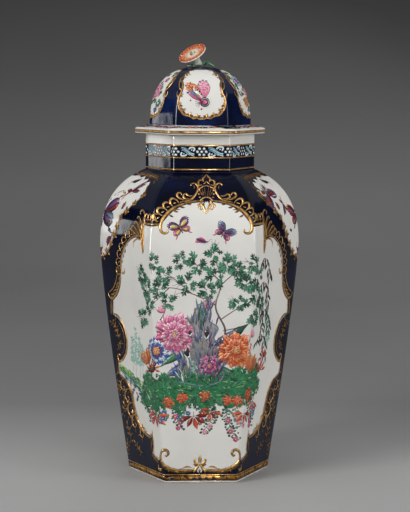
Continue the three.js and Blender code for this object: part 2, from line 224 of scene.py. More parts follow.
ROSE = enamel("gold_rose_enamel", "#9c2452", "#e07aa0", "#7a1b3e", 0.25)
PINK = enamel("thin_gold_rose_enamel", "#c84c7c", "#f2bccb", "#a23463", 0.22)
PURPLE = enamel("manganese_purple_enamel", "#38203f", "#7c5284", "#26142c", 0.3)
BLUE = enamel("cobalt_blue_enamel", "#152e86", "#4a76c4", "#101f5a", 0.3)
YELLOW = enamel("straw_yellow_enamel", "#b7963f", "#e2d592", "#8d7434", 0.25)
GREY = enamel("grey_wash_enamel", "#5a595b", "#a3a19f", "#434245", 0.3, 2.5)
INK = enamel("sepia_black_enamel", "#231a1c", "#3d2f2f", "#1b1416")
WASH = enamel("turquoise_white_enamel", "#5f93ac", "#a9cfd8", "#517f9c", 0.3)
MILK = enamel("milk_white_enamel", "#cfdcdf", "#e6eceb", "#b4c9d2", 0.3)
SLATE = enamel("blue_grey_enamel", "#34405f", "#7f8ba6", "#222b44", 0.3)
TWIG = enamel("thin_mauve_brown_enamel", "#4b3a3c", "#7b6664", "#3a2b2e", 0.3)
LEAF_GREEN = enamel("green_enamel_on_leaf", "#4f9160", "#a9cba0", "#3f7f55", 0.3)
BLOOM_ORANGE = enamel("iron_red_on_bloom", "#cf5a28", "#ee9867", "#c2501f", 0.3)
BLOOM_PALE = enamel("thin_iron_red_on_bloom", "#e9a37c", "#e8c3a6", "#e0996f")


# ---- Hexagonal skins that the decoration is laid on ----
def cubic(t):
    """How much each of a cubic curve's four points counts, so far along it."""
    return (1 - t) ** 3, 3 * (1 - t) ** 2 * t, 3 * (1 - t) * t * t, t ** 3


def bezier(a, b, c, d, steps):
    out = []
    for i in range(steps + 1):
        k = cubic(i / steps)
        out.append(tuple(k[0] * a[n] + k[1] * b[n] + k[2] * c[n] + k[3] * d[n] for n in (0, 1)))
    return out


class Skin:
    """A surface with a hexagonal section. Its profile is a list of (corner radius, height) from the bottom
    up. A spot on it is (off, up): off is measured round the hexagon from a place of so many side lengths
    from the front, and up along the profile."""

    def __init__(self, profile):
        self.radii, self.heights = np.array(profile, float).T
        facet = self.radii * FACET
        self.arc = np.concatenate([[0], np.cumsum(np.hypot(np.diff(facet), np.diff(self.heights)))])
        run = np.gradient(facet, self.arc)
        rise = np.gradient(self.heights, self.arc)
        size = np.hypot(run, rise)
        self.out = rise / size
        self.tilt = -run / size

    def radius(self, up):
        return float(np.interp(up, self.arc, self.radii))

    def lay(self, place, off, up, lift):
        """World places of spots, raised off the surface by lift."""
        radius, height, out, tilt = (np.interp(up, self.arc, values)
                                     for values in (self.radii, self.heights, self.out, self.tilt))
        path = place * radius + off
        facet = np.round(path / radius)
        across = path - facet * radius
        rounding = np.minimum(ARRIS_ROUNDING, radius * FACET / 2)
        reach = rounding * math.tan(HALF_SIDE)
        bend = np.clip(1 - (radius / 2 - np.abs(across)) / reach, 0, 1) * HALF_SIDE
        sideways = np.where(bend > 0, radius / 2 - reach + rounding * np.sin(bend), np.abs(across))
        sideways = sideways * np.sign(across)
        outward = radius * FACET - rounding * (1 - np.cos(bend))
        turn = facet * 2 * HALF_SIDE
        heading = turn + np.sign(across) * bend
        x = outward * np.sin(turn) + sideways * np.cos(turn) + lift * out * np.sin(heading)
        y = -outward * np.cos(turn) + sideways * np.sin(turn) - lift * out * np.cos(heading)
        return np.stack([x, y, height + lift * tilt], 1)


def wall_profile():
    """The outside of the wall from the foot's rounding to the neck root."""
    foot, flank, belly, root = ((FOOT_RADIUS, FOOT_TOP), (FLANK_RADIUS, FLANK_TOP), (BELLY_RADIUS, BELLY),
                                (NECK_RADIUS, NECK_ROOT))
    flank_pull, belly_pull, shoulder_pull, root_pull = 94, 12, 36.5, 28     # lengths of the curves' handles
    widening = (FLANK_RADIUS - FOOT_RADIUS) / FLANK_TOP
    slope = math.radians(21.7)
    swell = bezier(flank, (FLANK_RADIUS + widening * flank_pull, FLANK_TOP + flank_pull),
                   (BELLY_RADIUS, BELLY - belly_pull), belly, 40)
    towards = (NECK_RADIUS + root_pull * math.cos(slope), NECK_ROOT - root_pull * math.sin(slope))
    shoulder = bezier(belly, (BELLY_RADIUS, BELLY + shoulder_pull), towards, root, 60)
    return [foot, flank] + swell[1:] + shoulder[1:]


def dome_profile(top_radius, steps):
    """The outside of the dome up to a small radius at its top."""
    start, towards = (DOME_RADIUS, DOME_SEAT), (DOME_RADIUS, 375)
    return bezier(start, towards, (23.4, DOME_TOP), (top_radius, DOME_TOP), steps)


WALL = Skin(wall_profile())
NECK = Skin([(NECK_RADIUS, NECK_ROOT), (NECK_RADIUS, NECK_RIM)])
DOME = Skin(dome_profile(0.5, 60))
FLANGE_TOP = Skin([(60.2, 326.97), (54, 328.6), (DOME_RADIUS, DOME_SEAT)])
FLANGE_EDGE = Skin([(BRIM_RADIUS, 322.8), (BRIM_RADIUS, 325.4)])


# ---- The brush: strokes, dots and filled fields on a skin ----
STROKE_STEP, OUTLINE_STEP = 1.3, 1.5    # spacing of the spots along a smooth stroke and round a field
FLOW_PARTS = 8                          # parts that a smooth path is first cut into between two points
RIDGE = 0.3                             # how much of its rise a stroke's ridge has above its edges
UNDER_STROKE, UNDER_FIELD = -0.2, -0.15     # how deep the hidden underside of paint lies in the glaze


def ray(angle, reach, x=0.0, y=0.0):
    """The spot so far from another in a direction of so many degrees."""
    turn = math.radians(angle)
    return x + reach * math.cos(turn), y + reach * math.sin(turn)


def flow(points, step):
    """A smooth path through points, as evenly spaced as the step allows."""
    dense = []
    for i in range(len(points) - 1):
        before = points[max(i - 1, 0)]
        a, b = points[i], points[i + 1]
        after = points[min(i + 2, len(points) - 1)]
        for j in range(FLOW_PARTS):
            t = j / FLOW_PARTS
            dense.append([0.5 * (2 * a[k] + (b[k] - before[k]) * t
                                 + (2 * before[k] - 5 * a[k] + 4 * b[k] - after[k]) * t * t
                                 + (3 * a[k] - before[k] - 3 * b[k] + after[k]) * t ** 3) for k in (0, 1)])
    dense.append(list(points[-1]))
    dense = np.array(dense, float)
    length = np.concatenate([[0], np.cumsum(np.hypot(*np.diff(dense, axis=0).T))])
    count = max(2, int(math.ceil(length[-1] / step)) + 1)
    even = np.linspace(0, length[-1], count)
    return np.stack([np.interp(even, length, dense[:, 0]), np.interp(even, length, dense[:, 1])], 1)


def mesh_of(name, places, faces, smooth, marks=None):
    """A mesh from places in millimetres; marks are the tone and edge of each place, for the materials."""
    mesh = bpy.data.meshes.new(name)
    mesh.from_pydata((np.array(places, float) * MM).tolist(), [], faces)
    mesh.polygons.foreach_set("use_smooth", smooth)
    for column, label in enumerate(("tone", "edge") if marks else ()):
        layer = mesh.attributes.new(label, "FLOAT", "POINT")
        layer.data.foreach_set("value", np.array(marks, np.float32)[:, column].copy())
    return mesh


def link(name, data):
    """An object in the scene for a mesh, a lamp or a camera."""
    made = bpy.data.objects.new(name, data)
    bpy.context.scene.collection.objects.link(made)
    return made


def settle(name, mesh, body):
    """Turns faces outwards and hands a finished mesh to its body."""
    work = bmesh.new()
    work.from_mesh(mesh)
    bmesh.ops.recalc_face_normals(work, faces=work.faces)
    work.to_mesh(mesh)
    work.free()
    piece = link(name, mesh)
    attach(piece, body)
    return piece


class Painting:
    """Everything painted or gilt on one skin, gathered into one mesh."""

    def __init__(self, skin=None):
        self.skin = skin
        self.spots = []      # place, off, up, lift
        self.marks = []      # tone, edge
        self.faces = []
        self.finishes = []
        self.used = []

    def take(self, spots, marks, faces, finish):
        start = len(self.spots)
        self.spots.extend(spots)
        self.marks.extend(marks)
        if finish not in self.used:
            self.used.append(finish)
        self.faces.extend([start + corner for corner in face] for face in faces)
        self.finishes.extend([self.used.index(finish)] * len(faces))

    def mesh(self, name, places):
        """A mesh of it all, shaded smooth where a face lies wholly above the glaze, and flat where not."""
        smooth = [bool(min(self.spots[corner][3] for corner in face) >= 0) for face in self.faces]
        return mesh_of(name, places, self.faces, smooth, self.marks)

    def build(self, name, body, slot):
        mesh = self.mesh(name, self.skin.lay(*np.array(self.spots, float).T))
        for finish in self.used:
            mesh.materials.append(finish)
        mesh.polygons.foreach_set("material_index", self.finishes)
        return settle(name, mesh, body)


class Pen:
    """A brush held at a place on a painting, turned, scaled and perhaps mirrored there."""

    def __init__(self, painting, place=0.0, x=0.0, y=0.0, angle=0.0, scale=1.0, mirror=False, lean=0.0):
        self.painting = painting
        self.place = place
        self.origin = (x, y)
        self.turn = math.radians(angle)
        self.scale = scale
        self.flip = -1.0 if mirror else 1.0
        self.lean = lean     # how far the drawing leans to the right for each millimetre up
        self.even = False    # whether a stroke keeps one tone from end to end

    def at(self, x, y, angle=0.0, scale=1.0, mirror=False):
        """The same brush, moved within what this one draws."""
        made = Pen(self.painting, self.place, *self.spots([(x, y)])[0])
        made.turn = self.turn + math.radians(angle) * self.flip
        made.scale = self.scale * scale
        made.flip = self.flip * (-1.0 if mirror else 1.0)
        return made

    def spots(self, points):
        x, y = (np.array(points, float) * self.scale).T
        x = x * self.flip
        c, s = math.cos(self.turn), math.sin(self.turn)
        up = self.origin[1] + x * s + y * c
        return np.stack([self.origin[0] + x * c - y * s + self.lean * (up - PANEL_MIDDLE), up], 1)

    def stroke(self, path, widths, finish, lift=0.08, rise=0.05, smooth=True):
        """A raised brush stroke; widths are its full widths, spread evenly along it."""
        line = flow(path, STROKE_STEP / max(self.scale, 0.3)) if smooth else np.array(path, float)
        line = self.spots(line)
        count = len(line)
        along = np.linspace(0, 1, count)
        half = np.interp(along, np.linspace(0, 1, len(widths)), widths) * self.scale / 2
        run = np.gradient(line, axis=0)
        run /= np.maximum(np.hypot(run[:, 0], run[:, 1]), 1e-9)[:, None]
        side = np.stack([-run[:, 1], run[:, 0]], 1)
        spots, marks, faces = [], [], []
        for i in range(count):
            ridge = lift + RIDGE * rise * min(1, half[i])
            for sign, height, edge in ((-1, lift, 1), (0, ridge, 0), (1, lift, 1), (0, UNDER_STROKE, 1)):
                spots.append((self.place, *(line[i] + side[i] * half[i] * sign), height))
                marks.append((0.5 if self.even else along[i], edge))
        for i in range(count - 1):
            for j in range(4):
                k = (j + 1) % 4
                faces.append((4 * i + j, 4 * i + k, 4 * i + 4 + k, 4 * i + 4 + j))
        faces.append((0, 3, 2, 1))
        last = 4 * (count - 1)
        faces.append((last, last + 1, last + 2, last + 3))
        self.painting.take(spots, marks, faces, finish)

    def petal(self, x, y, angle, length, width, finish, bend=0.0, lift=0.08, rise=0.03, blunt=0.5):
        """A petal or leaf: one pressed stroke, widest past its middle, perhaps bent to one side."""
        c, s = ray(angle, 1)
        path = []
        for i in range(7):
            t = i / 6
            aside = bend * length * t * t
            path.append((x + c * length * t - s * aside, y + s * length * t + c * aside))
        widths = [0.12, 0.55, 0.86, 1.0, 0.9 + 0.1 * blunt, 0.45 + 0.45 * blunt, 0.05 + 0.25 * blunt]
        self.stroke(path, [w * width for w in widths], finish, lift, rise, smooth=False)

    def dot(self, x, y, radius, finish, lift=0.08, rise=0.06, corners=8):
        centre = self.spots([(x, y)])[0]
        size = radius * self.scale
        spots = [(self.place, *centre, lift + rise)]
        spots += [(self.place, *ray(360 * i / corners, size, *centre), lift) for i in range(corners)]
        spots.append((self.place, *centre, UNDER_STROKE))
        marks = [(1.0, 0.0)] + [(0.5, 1.0)] * corners + [(0.0, 1.0)]
        faces = []
        for i in range(corners):
            a, b = 1 + i, 1 + (i + 1) % corners
            faces.extend([(0, a, b), (corners + 1, b, a)])
        self.painting.take(spots, marks, faces, finish)

    def field(self, outline, finish, lift=0.05, grid=3.0, smooth=True):
        """A filled field: a thin slab of glaze or enamel that follows the skin and its arrises."""
        if smooth:
            outline = flow(list(outline) + [outline[0]], OUTLINE_STEP)[:-1]
        line = self.spots(outline)
        low, high = line.min(0), line.max(0)
        inner = []
        for row, up in enumerate(np.arange(low[1], high[1], grid)):
            radius = self.painting.skin.radius(up)
            arrises = [(corner + 0.5 - self.place) * radius for corner in range(-SIDES - 2, SIDES + 3)]
            shares = (-1, -0.5, 0, 0.5, 1)
            creases = np.array([arris + ARRIS_REACH * share for arris in arrises for share in shares])
            offs = [off for off in np.arange(low[0] + (row % 2) * grid / 2, high[0], grid)
                    if np.abs(creases - off).min() > grid * 0.3]
            offs += [crease for crease in creases if low[0] < crease < high[0]]
            inner.extend((off, up) for off in offs)
        flat = [Vector(spot) for spot in line] + [Vector(spot) for spot in inner if inside(spot, line)]
        found = delaunay_2d_cdt(flat, [], [list(range(len(line)))], 1, 1e-5)
        verts, faces = found[0], [list(face) for face in found[2]]
        count = len(verts)
        sides = dict.fromkeys((a, b) for face in faces for a, b in zip(face, face[1:] + face[:1]))
        rim = [(a, b) for a, b in sides if (b, a) not in sides]
        span = np.maximum(high - low, 1e-6)
        spots = [(self.place, v.x, v.y, height) for height in (lift, UNDER_FIELD) for v in verts]
        marks = [((v.y - low[1]) / span[1], 0.0) for v in verts] * 2
        faces += [[corner + count for corner in reversed(face)] for face in faces]
        faces += [[b, a, a + count, b + count] for a, b in rim]
        self.painting.take(spots, marks, faces, finish)


def inside(spot, line):
    """Whether a spot lies inside a closed line, and not too near it."""
    x, y = spot
    gap = np.abs(line - np.array(spot)).sum(1).min()
    if gap < 0.6:
        return False
    a, b = line, np.roll(line, -1, axis=0)
    crosses = (a[:, 1] > y) != (b[:, 1] > y)
    with np.errstate(divide="ignore", invalid="ignore"):
        where = (b[:, 0] - a[:, 0]) * (y - a[:, 1]) / (b[:, 1] - a[:, 1]) + a[:, 0]
    return bool(np.count_nonzero(crosses & (x < where)) % 2)


def both(points):
    """A half outline from the top centre to the bottom centre, completed by its mirror image."""
    other = [(-x, y) for x, y in reversed(points) if abs(x) > 1e-6]
    return list(points) + other


# ---- Porcelain bodies ----
FLANK_STEPS, FACET_STEPS, ROUNDING_STEPS = 12, 10, 4


def shell(name, rows, body, replaced):
    """A hexagonal body from rows of (corner radius, height, finish); a row's finish covers the band from it
    to the next row. The last row joins the first."""
    mesh = bpy.data.meshes.new(name)
    work = bmesh.new()
    finishes = []
    rings = []
    for radius, height, finish in rows:
        if finish not in finishes:
            finishes.append(finish)
        if radius < 0.01:
            rings.append([work.verts.new((0, 0, height * MM))])
            continue
        rounding = min(ARRIS_ROUNDING, radius * FACET / 2)
        half = radius / 2 - rounding * math.tan(HALF_SIDE)
        side = [(half * (-1 + 2 * i / FACET_STEPS), radius * FACET) for i in range(FACET_STEPS + 1)]
        for share in (0.25, 0.5, 0.75):     # round the arris to the next facet
            bend = share * 2 * HALF_SIDE
            side.append((half + rounding * math.sin(bend), radius * FACET - rounding * (1 - math.cos(bend))))
        ring = []
        for facet in range(SIDES):
            turn = facet * math.pi / 3
            c, s = math.cos(turn), math.sin(turn)
            for across, out in side:
                place = ((out * s + across * c) * MM, (-out * c + across * s) * MM, height * MM)
                ring.append(work.verts.new(place))
        rings.append(ring)
    for (_, _, finish), lower, upper in zip(rows, rings, rings[1:] + rings[:1]):
        around = max(len(lower), len(upper))
        for j in range(around if around > 1 else 0):
            k = (j + 1) % around
            if len(lower) == 1:
                corners = (lower[0], upper[k], upper[j])
            elif len(upper) == 1:
                corners = (lower[j], lower[k], upper[0])
            else:
                corners = (lower[j], lower[k], upper[k], upper[j])
            face = work.faces.new(corners)
            face.material_index = finishes.index(finish)
            face.smooth = True
    work.to_mesh(mesh)
    work.free()
    for finish in finishes:
        mesh.materials.append(finish)
    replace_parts(settle(name, mesh, body), *replaced)


def rounded(a, b, c, size):
    """Points that round a profile's corner b, between its neighbours a and c."""
    a, b, c = Vector(a), Vector(b), Vector(c)
    start = b + (a - b).normalized() * size
    end = b + (c - b).normalized() * size
    shares = [i / ROUNDING_STEPS for i in range(ROUNDING_STEPS + 1)]
    return [tuple(start * (1 - t) ** 2 + b * 2 * t * (1 - t) + end * t * t) for t in shares]


def inset(profile, thickness):
    """A profile moved inwards by a wall thickness measured square to its facets."""
    out = []
    for i, (radius, height) in enumerate(profile):
        before = profile[max(i - 1, 0)]
        after = profile[min(i + 1, len(profile) - 1)]
        run = (after[0] - before[0]) * FACET
        rise = after[1] - before[1]
        size = math.hypot(run, rise)
        out.append(((radius * FACET - rise / size * thickness) / FACET, height + run / size * thickness))
    return out


def band(points, finish):
    """Rows of a body that share one finish."""
    return [(radius, height, finish) for radius, height in points]


def vase_body():
    wide, high = FLANK_RADIUS - FOOT_RADIUS, FLANK_TOP - FOOT_TOP
    flank = [(FOOT_RADIUS + wide * i / FLANK_STEPS, FOOT_TOP + high * i / FLANK_STEPS)
             for i in range(FLANK_STEPS + 1)]
    outer = flank + wall_profile()[2:]
    inner = inset(outer, WALL_THICKNESS)
    wall = WALL_THICKNESS / FACET
    rows = band([(66.0, 0), (66.5, 0.15)], BISCUIT)
    rows += band(outer[:-1] + [(NECK_RADIUS + 0.3, NECK_ROOT - 0.12)], COBALT)
    rows += band([(NECK_RADIUS, NECK_ROOT), (NECK_RADIUS - wall, NECK_ROOT)] + inner[1:-1:2][::-1], WHITE)
    rows += band([(FOOT_RADIUS - wall, 0)], BISCUIT)
    shell("glazed_vase_wall", rows, "vase", ["vase_wall"])


def neck_body():
    bore = NECK_RADIUS - WALL_THICKNESS / FACET
    rows = band([(NECK_RADIUS, NECK_ROOT), (NECK_RADIUS, NECK_ROOT + 0.3)], COBALT)
    rows += band([(NECK_RADIUS, 300.6)], BORDER_GROUND)
    rows += band([(NECK_RADIUS, 311.7), (NECK_RADIUS, 319)], WHITE)
    rows += band(rounded((NECK_RADIUS, 318), (NECK_RADIUS, NECK_RIM), (48, NECK_RIM), 1.2), WHITE)
    rows += band(rounded((50, NECK_RIM), (bore, NECK_RIM), (bore, 318), 1.2), WHITE)
    rows += band([(bore, NECK_ROOT)], WHITE)
    shell("glazed_neck", rows, "vase", ["neck_collar"])


def cover_body():
    bore = DOME_RADIUS - DOME_THICKNESS / FACET
    seat, top, crown = (BRIM_RADIUS, BRIM_SEAT), (BRIM_RADIUS, BRIM_TOP), (DOME_RADIUS, DOME_SEAT)
    brim = [(bore, BRIM_SEAT), (55, BRIM_SEAT)]
    brim += rounded((55, BRIM_SEAT), seat, top, 1.3) + rounded(seat, top, crown, 1.4)
    brim += [(54, 328.5), crown, (bore, DOME_SEAT)]
    shell("glazed_brim", band(brim, WHITE), "cover", ["cover_flange"])
    outer = dome_profile(0, 36)
    inner = [spot for spot in inset(outer[1:-1], DOME_THICKNESS) if spot[0] > 2]
    rows = band([crown, (DOME_RADIUS, DOME_SEAT + 0.25)] + outer[1:-1], COBALT_COVER)
    rows += band([(0, DOME_TOP), (0, DOME_TOP - DOME_THICKNESS)] + inner[::2][::-1], WHITE)
    rows += band([(bore, DOME_SEAT)], WHITE)
    shell("glazed_dome", rows, "cover", ["cover_dome"])


# ---- Main panel: the white reserve and its gilt frame ----
PANEL_LEAN = 0.0175     # the painter set the whole panel very slightly askew
PANEL_MIDDLE = 66       # height on the wall at which the leaning panel crosses the facet's middle

PANEL_HALF = [
    (0, 264.2), (8, 263.8), (14.5, 262.9), (22.5, 260.3), (29.5, 255.9), (35, 251.2), (39, 245.5),
    (41.5, 242.4), (62.5, 242.0), (62.8, 226), (66, 227.5), (71.5, 229.4), (77, 229.3), (83, 227.6),
    (91.5, 222.8), (97, 216.5), (101.3, 209.6), (102.6, 202.6), (103, 196), (105, 188.5), (108, 180),
    (114, 172), (119.5, 167.2), (120, 159), (120.5, 151), (116, 150.6), (110, 148), (103, 143), (97.5, 135),
    (96, 126.5), (97.5, 120), (102, 112.5), (108, 107.5), (112.5, 106), (111.8, 100), (111, 94), (106, 90.5),
    (96, 87), (89.5, 80.5), (85.5, 72), (83, 63.5), (79.5, 54.5), (72.5, 47.5), (65, 43.4), (57.5, 41.8),
    (52.5, 41), (51, 36), (50.5, 31), (51.2, 25), (46, 22.3), (40, 21), (36, 17.5), (30, 13.5), (22, 11.2),
    (12, 10.9), (0, 11.6)]


def moved(path, x, y):
    return [(spot[0] + x, spot[1] + y) for spot in path]


HOOKS_START, HOOKS_END = 0.04, 0.96


def hooks(pen, path, count, size, finish, side=1, lean=55, wide=0.42, lift=0.08):
    """A row of acanthus hooks that spring from a path, larger towards its middle."""
    line = flow(path, 0.8)
    for i in range(count):
        t = HOOKS_START + (HOOKS_END - HOOKS_START) * i / (count - 1)
        index = min(int(t * (len(line) - 1)), len(line) - 2)
        dx, dy = line[index + 1] - line[index]
        heading = math.degrees(math.atan2(dy, dx)) + side * lean
        length = size * (0.65 + 0.5 * math.sin(math.pi * t)) * (1.12 if i % 2 else 0.88)
        pen.petal(*line[index], heading, length, length * wide, finish, -side * 0.35, lift, 0.25, 0.2)


# Shares of a lobe's width and height along its arch, and the brush's width there
LOBE = ((0.0, 0.0, 0.8), (0.04, 0.45, 1.2), (0.3, 0.86, 1.9), (0.62, 1.0, 2.5), (0.93, 0.86, 2.4),
        (1.06, 0.45, 1.6), (1.0, 0.0, 0.8))


def lobes(pen, path, count, height, finish, thick=1.0):
    """A row of gilt arches that stand on the left of a path and lean along it, with one dash in each."""
    line = flow(path, 0.5)
    marks = [line[int(i / count * (len(line) - 1))] for i in range(count + 1)]
    for a, b in zip(marks, marks[1:]):
        run = b - a
        width = float(np.hypot(*run))
        out = np.array([-run[1], run[0]]) / width
        along = run / width
        arch = [tuple(a + along * width * share + out * height * up) for share, up, _ in LOBE]
        pen.stroke(arch, [brush * thick for _, _, brush in LOBE], finish, rise=0.4)
        foot = a + along * width * 0.34 + out * 1.6
        pen.stroke([tuple(foot), tuple(foot + along * width * 0.38 + out * 0.9)], [0.7, 1.3, 0.7], finish)


def tuft(pen, x, y, heading, size=1.0):
    """Three gilt leaves that spring from one spot."""
    for aside, length, finish in ((-46, 3.4, GOLD_DARK), (44, 3.8, GOLD_DARK), (0, 4.6, GOLD)):
        pen.petal(x, y, heading + aside, length * size, 2.2 * size, finish, aside * 0.009, 0.12, 0.25, 0.7)


ARCH = [(4.5, 265.6), (10, 265.2), (16, 263.9), (24.3, 261.3), (31.5, 257.2), (36.6, 252.2), (40, 246.4),
        (41.2, 240.6), (39.8, 236.6), (36.6, 235.4), (34, 237.2), (34.6, 239.2)]
FEATHERS = ([(64.6, 234), (66.4, 241), (70, 247), (74, 248.6), (75.4, 246.2)],
            [(66.4, 232.4), (70.6, 238.4), (75.6, 243), (79, 243.6), (79.4, 241)],
            [(69, 231.6), (74.6, 235.6), (80, 239), (83.8, 239.2), (84, 236.8)],
            [(72, 231), (79, 233.4), (85.4, 235.6), (89, 234.8)])
SIDE = [(61.8, 227), (65.4, 229.8), (71.5, 231), (77.5, 230.4), (84, 228.4), (92, 223.4), (97.9, 217),
        (102, 209.8), (103.8, 202.6), (103, 196), (100, 193.4), (97, 195.4), (97.8, 198.2)]
SIDE_LOBES = [(80, 231), (91, 226), (98.6, 218.4), (103.6, 209.8), (105.6, 201), (105.2, 192.6)]
BAND = [(104.4, 199), (105.2, 190), (108.2, 180.5), (114, 172), (121, 166.8), (127, 168), (129, 171.4)]
CARTOUCHE = [(118.6, 145.8), (116, 147), (116, 150.4), (119.4, 151.8), (113, 151.6), (106.4, 147.9),
             (100.2, 141.2), (96.6, 133.6), (95.4, 126), (97, 118.4), (101.8, 111.4), (108, 106.8),
             (112.4, 107), (114, 110.8), (111, 113.4), (108.8, 111.8)]
LOW = [(117, 91.6), (113, 95), (109, 92.4), (103.4, 90.8), (96, 87.6), (89.8, 81), (85.9, 72.4), (83.3, 63.6),
       (79.7, 54.6), (72.6, 47.2), (64.8, 42.4), (57, 40), (53, 42.4), (52.4, 48.6)]
CURLS = ((101, 84, -20, 0.7), (92, 74, -4, 0.8), (85.6, 59.6, 4, 0.95), (78.6, 47.6, 24, 0.95),
         (66, 38, 40, 0.8))
CURL = [(1, 9), (7, 8.4), (11.6, 4), (11.8, -2), (7.6, -6), (3.2, -4.6), (3.4, -1), (6, -0.8)]
CURL_LEAVES = ((1, 6, -24, 6), (11, 5, 60, 6), (12.4, -1, 20, 5), (9, -6, -50, 6), (3, -6, -110, 5))
BASE = [(32, 25.6), (29.4, 28), (30.8, 31.4), (34.8, 31.4), (37.4, 27.6), (37.2, 22.5), (33.6, 17.6),
        (27.4, 14), (19, 11.8), (10, 12), (5, 12.6)]
SPRIGS = ((113, 132, 60, 1.1), (109, 122, -40, 0.8), (119, 141, 20, 0.9), (96, 36, 70, 1.2),
          (105, 60, 100, 1.1), (114, 78, 80, 0.9), (80, 24, 40, 1.0), (100, 20, 90, 0.9))


